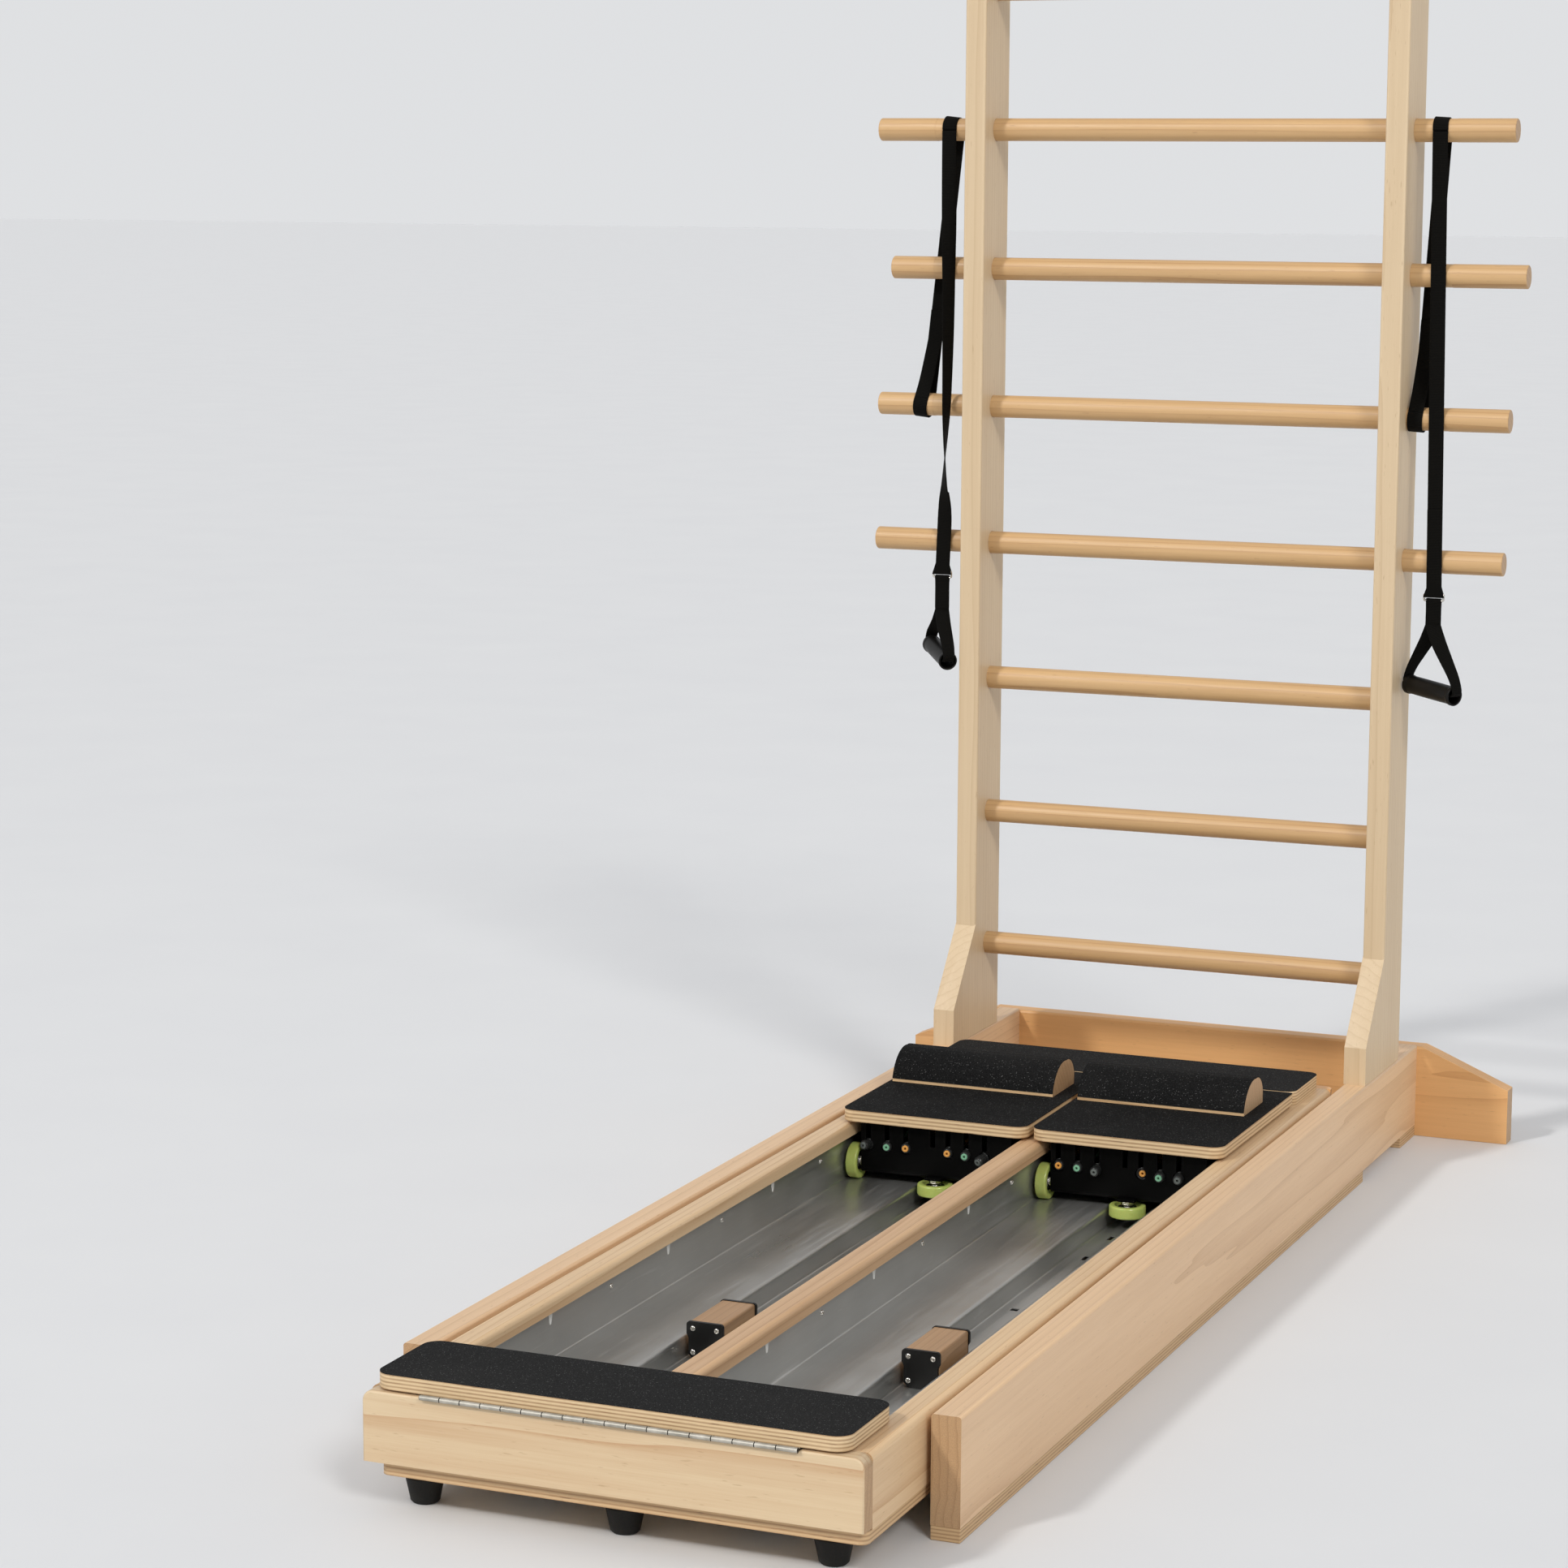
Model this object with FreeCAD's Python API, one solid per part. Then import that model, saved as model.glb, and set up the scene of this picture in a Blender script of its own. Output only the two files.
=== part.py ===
import FreeCAD, Part
import math
import os

# Freestanding ladder stand with a two-lane sliding-cart bed between its base rails.
# Millimetres. +X is the user's right when facing the ladder, +Y runs from the step end to the
# ladder, +Z is up, and the floor is z = 0. The helpers work about the middle of the ladder at
# floor level. The origin of the finished part is the middle of its footprint.

V = FreeCAD.Vector
X_AXIS = V(1, 0, 0)
Y_AXIS = V(0, 1, 0)
Z_AXIS = V(0, 0, 1)

# ---- ladder stand -------------------------------------------------------------------------
RUNG_R = 19.0
RUNG_PITCH = 230.0
TOP_LONG_RUNG_Z = 1689.0
LONG_RUNG_LENGTH = 1083.0
LONG_RUNG_OFFSETS = (-3.0, 22.0, 0.0, -3.0)
RUNG_WAIST_R = RUNG_R - 0.3
RUNG_WAIST_HALF = 442.0
SHORT_RUNG_STEPS = (-2, -1, 4, 5, 6)
RUNG_TENON = 24.0
UPRIGHT_IN = 338.5
UPRIGHT_T = 36.0
UPRIGHT_DEPTH = 118.0
UPRIGHT_TOP = 2210.0
FOOT_FRONT = -160.0
FOOT_CHEEK_Z = 219.0
FOOT_KINK_Z = 347.0
RAIL_T = 38.5
RAIL_TOP = 157.5
RAIL_FRONT = -2035.0
RAIL_REAR = 172.5
RUNNER_H = 18.5
RUNNER_REAR = -167.0
FOOT_BLOCK_FRONT = 75.0
CROSS_T = 35.0
CROSS_HALF = 535.0
CROSS_TOP = 155.0
CROSS_END_Z = 92.0
CROSS_SLOPE_X = 385.0

# ---- track bed ----------------------------------------------------------------------------
BED_HALF = 330.0
BED_FRONT = -2228.0
BED_REAR = -187.0
BED_TOP = 158.0
BED_BASE = 65.0
FRONT_BOARD_T = 26.0
REAR_BOARD_T = 20.0
FRONT_BOARD_BASE = 68.0
PANEL_T = 16.0
PANEL_LEFT = -313.0
PANEL_RIGHT = 328.0
PANEL_FRONT = BED_FRONT + 13.0
BED_RAIL_W = 38.0
RAIL_LIP_Z = 137.0
CENTRE_HALF = 20.0
FOOT_ROWS = (-2155.0, -1190.0, -235.0)
FOOT_COLUMNS = (-283.0, -10.0, 263.0)

# ---- one lane: a folded sheet channel with a guide groove in the middle --------------------
LANE_X = 156.0
SHEET_T = 1.5
LANE_HALF = 150.0
GROOVE_HALF = 32.0
GROOVE_FLOOR_Z = 36.0
FLOOR_Z = BED_BASE + SHEET_T
WALL_TOP_Z = 136.0
TRACK_FRONT = BED_FRONT + FRONT_BOARD_T + 1.0
TRACK_REAR = BED_REAR - REAR_BOARD_T - 1.0
FOLD_R = 3.0
GROOVE_FOLD_R = 4.0
GROOVE_LIP = 10.0
GROOVE_FRONT = TRACK_FRONT + 50.0
SLOT_ROWS = (-783.0, -903.0)
SQUARE_ROWS = (-1197.0, -1950.0)
WALL_ROWS = 5
WALL_PITCH = 374.0
SCREW_FIRST = -1947.0
KEYSLOT_FIRST = -2134.0
KEYSLOT_R = 3.6
KEYSLOT_TOP_Z = 127.0
KEYSLOT_LOW_Z = 114.0
SCREW_Z = 117.0
SCREW_HEAD_R = 4.2
SCREW_HEAD_H = 2.2

# ---- carts --------------------------------------------------------------------------------
CART_HALF = 151.5
CART_FRONT = -739.0
CART_REAR = -352.0
PLATFORM_T = 18.0
PLATFORM_Z = 162.5
GRIP_T = 1.0
DECK_TOP = PLATFORM_Z + PLATFORM_T
BAR_LEFT = -146.0
BAR_RIGHT = 125.0
BAR_FRONT = -535.0
BAR_DEPTH = 105.0
BAR_H = 47.0
CHASSIS_HALF = 124.0
CHASSIS_FRONT = -722.0
CHASSIS_REAR = -369.0
CHASSIS_Z = 80.0
PLATE_T = 4.0
KEYHOLE_X = (-112.0, -81.0, -50.0, 20.0, 50.0, 80.0)
KEYHOLE_R = 9.0
TUBE_Z = 123.0
TUBE_R = 5.0
TUBE_BORE_R = 2.2
TUBE_ANCHOR_Y = -224.0
PLUG_R = 7.5
WHEEL_R = 28.0
WHEEL_W = 18.0
WHEEL_OUT = 144.0
WHEEL_GAP = 0.3
AXLE_Y = (-712.0, -385.0)
AXLE_R = 4.0
RUN_CLEARANCE = 0.05
GUIDE_Y = (-722.0, -369.0)
GUIDE_Z = 56.0

# ---- lane stops ---------------------------------------------------------------------------
STOP_FRONT = -1595.0
STOP_LENGTH = 117.0
STOP_TOP = 89.0
STOP_BOTTOM = GROOVE_FLOOR_Z + 0.3
STOP_PLATE_T = 5.0
STOP_HALF = 27.0
STOP_WAIST_HALF = 24.0

# ---- rear deck and front step -------------------------------------------------------------
DECK_HALF = 308.0
DECK_FRONT = -345.0
DECK_REAR = -198.0
LID_LEFT = -316.0
LID_RIGHT = 307.0
LID_FRONT = -2224.0
LID_REAR = -2075.0
LID_T = 19.0
HINGE_Y = -2231.6
HINGE_Z = 159.3
LEAF_T = 1.2
KNUCKLE_R = 3.3
KNUCKLE_L = 27.6
KNUCKLE_COUNT = 18
KNUCKLE_GAP = 0.4
PIN_R = 1.2
LEAF_DEPTH = 24.0

# ---- hanging straps -----------------------------------------------------------------------
WEB_W = 25.0
WEB_T = 2.2
WRAP_R = RUNG_R + 0.3
STRAP_TOP_X = (-415.0, 416.0)
STRAP_LOOP_X = (-464.0, 389.5)
LEG_TOP_X = (-416.0, 418.0)
LEG_LOW_X = (-420.0, 430.0)
GRIP_X = (-423.5, 431.0)
GRIP_TURN = (54.0, 34.0)
GRIP_TILT = (9.0, 4.5)
LEG_DOUBLE_Z = 1092.0
KEEPER_TOP_Z = 957.0
RING_BAR_Z = 938.0
RING_BAR_R = 1.75
FORK_Z = 876.0
GRIP_Z = (809.0, 792.0)
GRIP_R = 16.0
GRIP_BORE = 12.5
GRIP_LENGTH = 110.0

# ---- footprint centre, which becomes the origin -------------------------------------------
REAR_END = RAIL_REAR + CROSS_T
FRONT_END = HINGE_Y - KNUCKLE_R
LEFT_END = -LONG_RUNG_LENGTH / 2 + min(LONG_RUNG_OFFSETS)
RIGHT_END = LONG_RUNG_LENGTH / 2 + max(LONG_RUNG_OFFSETS)
ORIGIN = V((LEFT_END + RIGHT_END) / 2, (FRONT_END + REAR_END) / 2, 0)

os.makedirs("parts", exist_ok=True)


# ---- helpers ------------------------------------------------------------------------------
def box(x0, x1, y0, y1, z0, z1):
    return Part.makeBox(x1 - x0, y1 - y0, z1 - z0, V(x0, y0, z0))


def rod(radius, start, end):
    span = end.sub(start)
    return Part.makeCylinder(radius, span.Length, start, span)


def tube(outer, inner, start, end):
    return rod(outer, start, end).cut(rod(inner, start, end))


def prism(points, along):
    """Extrude the closed outline through the given points along a vector."""
    return Part.Face(Part.makePolygon(points + [points[0]])).extrude(along)


def fused(shapes):
    whole = shapes[0]
    for shape in shapes[1:]:
        whole = whole.fuse(shape)
    return whole.removeSplitter()


def moved(shape, dx, dy, dz):
    copy = shape.copy()
    copy.translate(V(dx, dy, dz))
    return copy


def rounded(shape, radius, axis, keep):
    """Round the straight edges that run along axis and whose middle passes the test."""
    edges = []
    for edge in shape.Edges:
        if not isinstance(edge.Curve, Part.Line):
            continue
        if abs(edge.Curve.Direction.dot(axis)) < 0.999:
            continue
        if keep(edge.CenterOfMass):
            edges.append(edge)
    return shape.makeFillet(radius, edges)


def save(name, *shapes):
    """Write one node, moved so that the footprint's middle is the origin."""
    whole = shapes[0] if len(shapes) == 1 else Part.makeCompound(list(shapes))
    placed = moved(whole, -ORIGIN.x, -ORIGIN.y, 0)
    placed.exportStep("parts/" + name + ".step")
    print(name, "solids", len(placed.Solids), "valid", placed.isValid())


def mirrored(shape):
    return shape.mirror(V(0, 0, 0), X_AXIS)


# ---- ladder stand -------------------------------------------------------------------------
def rung_z(step):
    return TOP_LONG_RUNG_Z - RUNG_PITCH * step


def long_rung(step):
    """Dowel whose free ends keep the full diameter; between them it is turned slightly finer."""
    middle = LONG_RUNG_OFFSETS[step]
    half = LONG_RUNG_LENGTH / 2
    bar = rod(RUNG_R, V(middle - half, 0, rung_z(step)), V(middle + half, 0, rung_z(step)))
    rims = [edge for edge in bar.Edges if isinstance(edge.Curve, Part.Circle)]
    bar = bar.makeFillet(2.0, rims)
    sleeve = tube(RUNG_R + 1, RUNG_WAIST_R, V(-RUNG_WAIST_HALF, 0, rung_z(step)),
                  V(RUNG_WAIST_HALF, 0, rung_z(step)))
    return bar.cut(sleeve)


def short_rung(step):
    half = UPRIGHT_IN + RUNG_TENON
    return rod(RUNG_R, V(-half, 0, rung_z(step)), V(half, 0, rung_z(step)))


def upright():
    """Right-hand post with the forward flare of its foot and the holes for the rungs."""
    back = UPRIGHT_DEPTH / 2
    side = [
        V(UPRIGHT_IN, back, RAIL_TOP),
        V(UPRIGHT_IN, back, UPRIGHT_TOP),
        V(UPRIGHT_IN, -back, UPRIGHT_TOP),
        V(UPRIGHT_IN, -back, FOOT_KINK_Z),
        V(UPRIGHT_IN, FOOT_FRONT, FOOT_CHEEK_Z),
        V(UPRIGHT_IN, FOOT_FRONT, RAIL_TOP),
    ]
    post = prism(side, V(UPRIGHT_T, 0, 0))
    post = rounded(post, 4.0, Z_AXIS, lambda c: c.z > FOOT_CHEEK_Z)
    outer = UPRIGHT_IN + UPRIGHT_T
    for step in range(len(LONG_RUNG_OFFSETS)):
        post = post.cut(rod(RUNG_R, V(UPRIGHT_IN - 5, 0, rung_z(step)), V(outer + 5, 0, rung_z(step))))
    for step in SHORT_RUNG_STEPS:
        end = V(UPRIGHT_IN + RUNG_TENON, 0, rung_z(step))
        post = post.cut(rod(RUNG_R, V(UPRIGHT_IN - 5, 0, rung_z(step)), end))
    return post


def base_rail():
    rail = box(UPRIGHT_IN, UPRIGHT_IN + RAIL_T, RAIL_FRONT, RAIL_REAR, RUNNER_H, RAIL_TOP)
    return rounded(rail, 4.0, Y_AXIS, lambda c: c.z > RAIL_TOP - 1)


def base_runner():
    return box(UPRIGHT_IN, UPRIGHT_IN + RAIL_T, RAIL_FRONT, RUNNER_REAR, 0, RUNNER_H)


def foot_block():
    return box(UPRIGHT_IN, UPRIGHT_IN + RAIL_T, FOOT_BLOCK_FRONT, RAIL_REAR, 0, RUNNER_H)


def cross_board():
    outline = [
        V(-CROSS_HALF, RAIL_REAR, 0),
        V(CROSS_HALF, RAIL_REAR, 0),
        V(CROSS_HALF, RAIL_REAR, CROSS_END_Z),
        V(CROSS_SLOPE_X, RAIL_REAR, CROSS_TOP),
        V(-CROSS_SLOPE_X, RAIL_REAR, CROSS_TOP),
        V(-CROSS_HALF, RAIL_REAR, CROSS_END_Z),
    ]
    board = prism(outline, V(0, CROSS_T, 0))
    return rounded(board, 4.0, X_AXIS, lambda c: c.z > CROSS_TOP - 1)


# ---- track bed ----------------------------------------------------------------------------
def bed_front_board():
    board = box(-BED_HALF, BED_HALF, BED_FRONT, BED_FRONT + FRONT_BOARD_T, FRONT_BOARD_BASE, BED_TOP)
    board = rounded(board, 14.0, Y_AXIS, lambda c: c.z > BED_TOP - 1)
    return rounded(board, 3.0, Z_AXIS, lambda c: c.y < BED_FRONT + 1)


def bed_rear_board():
    board = box(-BED_HALF, BED_HALF, BED_REAR - REAR_BOARD_T, BED_REAR, BED_BASE, BED_TOP)
    return rounded(board, 16.0, Z_AXIS, lambda c: c.y > BED_REAR - 1)


def bed_side_rail():
    """Right-hand side: a full-height side with a lip that covers the channel's wall."""
    y0 = BED_FRONT + FRONT_BOARD_T
    y1 = BED_REAR - REAR_BOARD_T
    wall_x = LANE_X + LANE_HALF + SHEET_T
    outline = [
        V(BED_HALF, y0, BED_BASE),
        V(BED_HALF, y0, BED_TOP),
        V(BED_HALF - BED_RAIL_W, y0, BED_TOP),
        V(BED_HALF - BED_RAIL_W, y0, RAIL_LIP_Z),
        V(wall_x, y0, RAIL_LIP_Z),
        V(wall_x, y0, BED_BASE),
    ]
    rail = prism(outline, V(0, y1 - y0, 0))
    rail = rounded(rail, 9.0, Y_AXIS, lambda c: c.z > BED_TOP - 1 and c.x > BED_HALF - 1)
    return rounded(rail, 7.0, Y_AXIS, lambda c: c.z > BED_TOP - 1 and c.x < BED_HALF - BED_RAIL_W + 1)


def bed_centre_rail():
    y0 = BED_FRONT + FRONT_BOARD_T
    y1 = BED_REAR - REAR_BOARD_T
    web = LANE_X - LANE_HALF - SHEET_T
    outline = [
        V(-web, y0, BED_BASE),
        V(web, y0, BED_BASE),
        V(web, y0, RAIL_LIP_Z),
        V(CENTRE_HALF, y0, RAIL_LIP_Z),
        V(CENTRE_HALF, y0, BED_TOP),
        V(-CENTRE_HALF, y0, BED_TOP),
        V(-CENTRE_HALF, y0, RAIL_LIP_Z),
        V(-web, y0, RAIL_LIP_Z),
    ]
    rail = prism(outline, V(0, y1 - y0, 0))
    return rounded(rail, 7.0, Y_AXIS, lambda c: c.z > BED_TOP - 1)


def bed_bottom_panel():
    """Plywood bottom, cut through where the two grooves hang below the lane floors."""
    panel = box(PANEL_LEFT, PANEL_RIGHT, PANEL_FRONT, BED_REAR, BED_BASE - PANEL_T, BED_BASE)
    panel = rounded(panel, 12.0, Z_AXIS, lambda c: True)
    slot_half = GROOVE_HALF + SHEET_T + GROOVE_FOLD_R + 1.0
    for lane in (-LANE_X, LANE_X):
        panel = panel.cut(box(lane - slot_half, lane + slot_half, GROOVE_FRONT - 1, TRACK_REAR + 1,
                              0, BED_BASE + 1))
    return panel


def groove_channel(lane):
    """Guide groove in three strips: a floor, and on each side a wall with a rolled lip."""
    def section(grow, top, lip):
        half = GROOVE_HALF + grow
        bottom = GROOVE_FLOOR_Z - grow
        return [
            V(lane - lip, GROOVE_FRONT, top), V(lane - lip, GROOVE_FRONT, FLOOR_Z - grow),
            V(lane - half, GROOVE_FRONT, FLOOR_Z - grow), V(lane - half, GROOVE_FRONT, bottom),
            V(lane + half, GROOVE_FRONT, bottom), V(lane + half, GROOVE_FRONT, FLOOR_Z - grow),
            V(lane + lip, GROOVE_FRONT, FLOOR_Z - grow), V(lane + lip, GROOVE_FRONT, top),
        ]
    length = V(0, TRACK_REAR - GROOVE_FRONT, 0)
    lip = GROOVE_HALF + GROOVE_LIP
    block = prism(section(SHEET_T, FLOOR_Z + 1, lip), length)
    block = rounded(block, FOLD_R + SHEET_T, Y_AXIS, lambda c: c.z < GROOVE_FLOOR_Z)
    block = rounded(block, GROOVE_FOLD_R, Y_AXIS, lambda c: under_fold(c, lane))
    hollow = prism(section(0, FLOOR_Z + 5, lip + 1), length)
    hollow = rounded(hollow, FOLD_R, Y_AXIS, lambda c: c.z < GROOVE_FLOOR_Z + 1)
    hollow = rounded(hollow, GROOVE_FOLD_R + SHEET_T, Y_AXIS, lambda c: over_fold(c, lane))
    channel = block.cut(hollow)
    under = GROOVE_FLOOR_Z - 5
    over = GROOVE_FLOOR_Z + 5
    for y in SLOT_ROWS:
        channel = channel.cut(box(lane - 9, lane - 2, y - 12, y + 12, under, over))
    for y in SQUARE_ROWS:
        channel = channel.cut(box(lane - 16, lane - 5, y - 6, y + 6, under, over))
    flat = GROOVE_HALF - FOLD_R
    edges = (-lip - 1, -flat, flat, lip + 1)
    return [channel.common(box(lane + x0, lane + x1, GROOVE_FRONT, TRACK_REAR, 0, BED_TOP))
            for x0, x1 in zip(edges, edges[1:])]


def under_fold(centre, lane):
    return abs(centre.z - (FLOOR_Z - SHEET_T)) < 0.1 and abs(centre.x - lane) < GROOVE_HALF + 2 * SHEET_T


def over_fold(centre, lane):
    return abs(centre.z - FLOOR_Z) < 0.1 and abs(centre.x - lane) < GROOVE_HALF + SHEET_T


def lane_sheet(lane, side):
    """Wall and floor of one side of the lane, folded from one sheet; key slots pierce the wall."""
    inside = lane + side * LANE_HALF
    outside = inside + side * SHEET_T
    edge = lane + side * (GROOVE_HALF + GROOVE_LIP)
    outline = [
        V(outside, TRACK_FRONT, WALL_TOP_Z), V(outside, TRACK_FRONT, BED_BASE),
        V(edge, TRACK_FRONT, BED_BASE), V(edge, TRACK_FRONT, FLOOR_Z),
        V(inside, TRACK_FRONT, FLOOR_Z), V(inside, TRACK_FRONT, WALL_TOP_Z),
    ]
    sheet = prism(outline, V(0, TRACK_REAR - TRACK_FRONT, 0))
    sheet = rounded(sheet, FOLD_R + SHEET_T, Y_AXIS,
                    lambda c: abs(c.x - outside) < 0.1 and c.z < FLOOR_Z)
    sheet = rounded(sheet, FOLD_R, Y_AXIS,
                    lambda c: abs(c.x - inside) < 0.1 and c.z < FLOOR_Z + 1)
    for index in range(WALL_ROWS):
        y = KEYSLOT_FIRST + WALL_PITCH * index
        hole = rod(KEYSLOT_R, V(inside - 3, y, KEYSLOT_TOP_Z), V(inside + 3, y, KEYSLOT_TOP_Z))
        stem = box(inside - 3, inside + 3, y - KEYSLOT_R / 2, y + KEYSLOT_R / 2, KEYSLOT_LOW_Z, KEYSLOT_TOP_Z)
        sheet = sheet.cut(hole.fuse(stem))
    return sheet


def lane_apron(lane):
    """Flat floor between the two sheets in front of the groove."""
    half = GROOVE_HALF + GROOVE_LIP
    return box(lane - half, lane + half, TRACK_FRONT, GROOVE_FRONT, BED_BASE, FLOOR_Z)


def track(lane):
    """Lining of one lane: a groove between two folded sheets, welded along the lips."""
    return [lane_sheet(lane, -1), lane_sheet(lane, 1), lane_apron(lane)] + groove_channel(lane)


def track_screw(x, y, inward):
    """Domed head that bears on the channel wall."""
    ball_r = (SCREW_HEAD_R ** 2 + SCREW_HEAD_H ** 2) / (2 * SCREW_HEAD_H)
    centre = V(x + inward * (SCREW_HEAD_H - ball_r), y, SCREW_Z)
    rim = V(x, y, SCREW_Z + SCREW_HEAD_R)
    tip = V(x + inward * SCREW_HEAD_H, y, SCREW_Z)
    half_turn = math.asin(SCREW_HEAD_R / ball_r) / 2
    mid = centre.add(V(inward * ball_r * math.cos(half_turn), 0, ball_r * math.sin(half_turn)))
    outline = Part.Wire([
        Part.LineSegment(V(x, y, SCREW_Z), rim).toShape(),
        Part.Arc(rim, mid, tip).toShape(),
        Part.LineSegment(tip, V(x, y, SCREW_Z)).toShape(),
    ])
    return Part.Face(outline).revolve(V(x, y, SCREW_Z), X_AXIS, 360)


def bed_foot(x, y):
    """Tapered rubber foot with a shoulder, turned about a vertical axis."""
    top = BED_BASE - PANEL_T
    outline = [
        V(0, 0, 0), V(15.5, 0, 0), V(18.5, 0, 3.0), V(24.0, 0, 29.0), V(24.5, 0, 33.0),
        V(21.5, 0, 36.0), V(21.0, 0, top), V(0, 0, top),
    ]
    face = Part.Face(Part.makePolygon(outline + [outline[0]]))
    return moved(face.revolve(V(0, 0, 0), Z_AXIS, 360), x, y, 0)


def tube_anchor(lane):
    return box(lane - 128, lane + 96, TUBE_ANCHOR_Y, BED_REAR - REAR_BOARD_T, TUBE_Z - 11, TUBE_Z + 11)


def rear_deck():
    deck = box(-DECK_HALF, DECK_HALF, DECK_FRONT, DECK_REAR, BED_TOP, DECK_TOP)
    return rounded(deck, 18.0, Z_AXIS, lambda c: True)


def rear_deck_grip():
    sheet = box(-DECK_HALF, DECK_HALF, DECK_FRONT, DECK_REAR, DECK_TOP, DECK_TOP + GRIP_T)
    return rounded(sheet, 18.0, Z_AXIS, lambda c: True)


# ---- hinged step --------------------------------------------------------------------------
LID_Z = HINGE_Z + 0.1 + LEAF_T


def step_lid(z0, z1):
    board = box(LID_LEFT, LID_RIGHT, LID_FRONT, LID_REAR, z0, z1)
    return rounded(board, 22.0, Z_AXIS, lambda c: True)


def hinge_leaf(first, z0):
    """Leaf with every second knuckle; the pin's bore runs through its knuckles."""
    half = KNUCKLE_COUNT * KNUCKLE_L / 2
    edge = HINGE_Y + KNUCKLE_R + 0.3
    leaf = [box(-half, half, edge, edge + LEAF_DEPTH, z0, z0 + LEAF_T)]
    for index in range(first, KNUCKLE_COUNT, 2):
        x0 = -half + index * KNUCKLE_L + KNUCKLE_GAP
        x1 = -half + (index + 1) * KNUCKLE_L - KNUCKLE_GAP
        ring = rod(KNUCKLE_R, V(x0, HINGE_Y, HINGE_Z), V(x1, HINGE_Y, HINGE_Z))
        web = box(x0, x1, HINGE_Y, edge, z0, z0 + LEAF_T)
        leaf.append(ring.fuse(web))
    whole = fused(leaf)
    bore = rod(PIN_R + RUN_CLEARANCE, V(-half - 1, HINGE_Y, HINGE_Z), V(half + 1, HINGE_Y, HINGE_Z))
    return whole.cut(bore)


def hinge_pin():
    half = KNUCKLE_COUNT * KNUCKLE_L / 2
    return rod(PIN_R, V(-half, HINGE_Y, HINGE_Z), V(half, HINGE_Y, HINGE_Z))


# ---- carts --------------------------------------------------------------------------------
def platform(lane, z0, z1):
    board = box(lane - CART_HALF, lane + CART_HALF, CART_FRONT, CART_REAR, z0, z1)
    board = rounded(board, 20.0, Z_AXIS, lambda c: c.y < CART_FRONT + 1)
    return rounded(board, 3.0, Z_AXIS, lambda c: c.y > CART_REAR - 1)


def foot_bar_section(lane, shrink):
    """Half-round bar: a long curve up from the front edge and a short one down the back."""
    x = lane + BAR_LEFT
    z0 = DECK_TOP + GRIP_T
    lip = 5.0
    crest = BAR_FRONT + 0.62 * BAR_DEPTH
    top = z0 + BAR_H - shrink
    front = BAR_FRONT + shrink
    back = BAR_FRONT + BAR_DEPTH - shrink
    shoulder = z0 + 16.0
    turn = math.sqrt(0.5)
    front_mid = V(x, crest - (crest - front) * turn, z0 + lip + (top - z0 - lip) * turn)
    back_mid = V(x, crest + (back - crest) * turn, shoulder + (top - shoulder) * turn)
    edges = [
        Part.LineSegment(V(x, back, z0), V(x, front, z0)).toShape(),
        Part.LineSegment(V(x, front, z0), V(x, front, z0 + lip)).toShape(),
        Part.Arc(V(x, front, z0 + lip), front_mid, V(x, crest, top)).toShape(),
        Part.Arc(V(x, crest, top), back_mid, V(x, back, shoulder)).toShape(),
        Part.LineSegment(V(x, back, shoulder), V(x, back, z0)).toShape(),
    ]
    return Part.Face(Part.Wire(edges)).extrude(V(BAR_RIGHT - BAR_LEFT, 0, 0))


def foot_bar_grip(lane):
    """Grit sheet wrapped over the bar from just above its front edge to its back edge."""
    z0 = DECK_TOP + GRIP_T
    shell = foot_bar_section(lane, 0).cut(foot_bar_section(lane, GRIP_T))
    return shell.common(box(lane - 200, lane + 200, BAR_FRONT - 5, BAR_FRONT + BAR_DEPTH + 5,
                            z0 + 5.0, z0 + 60))


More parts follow.
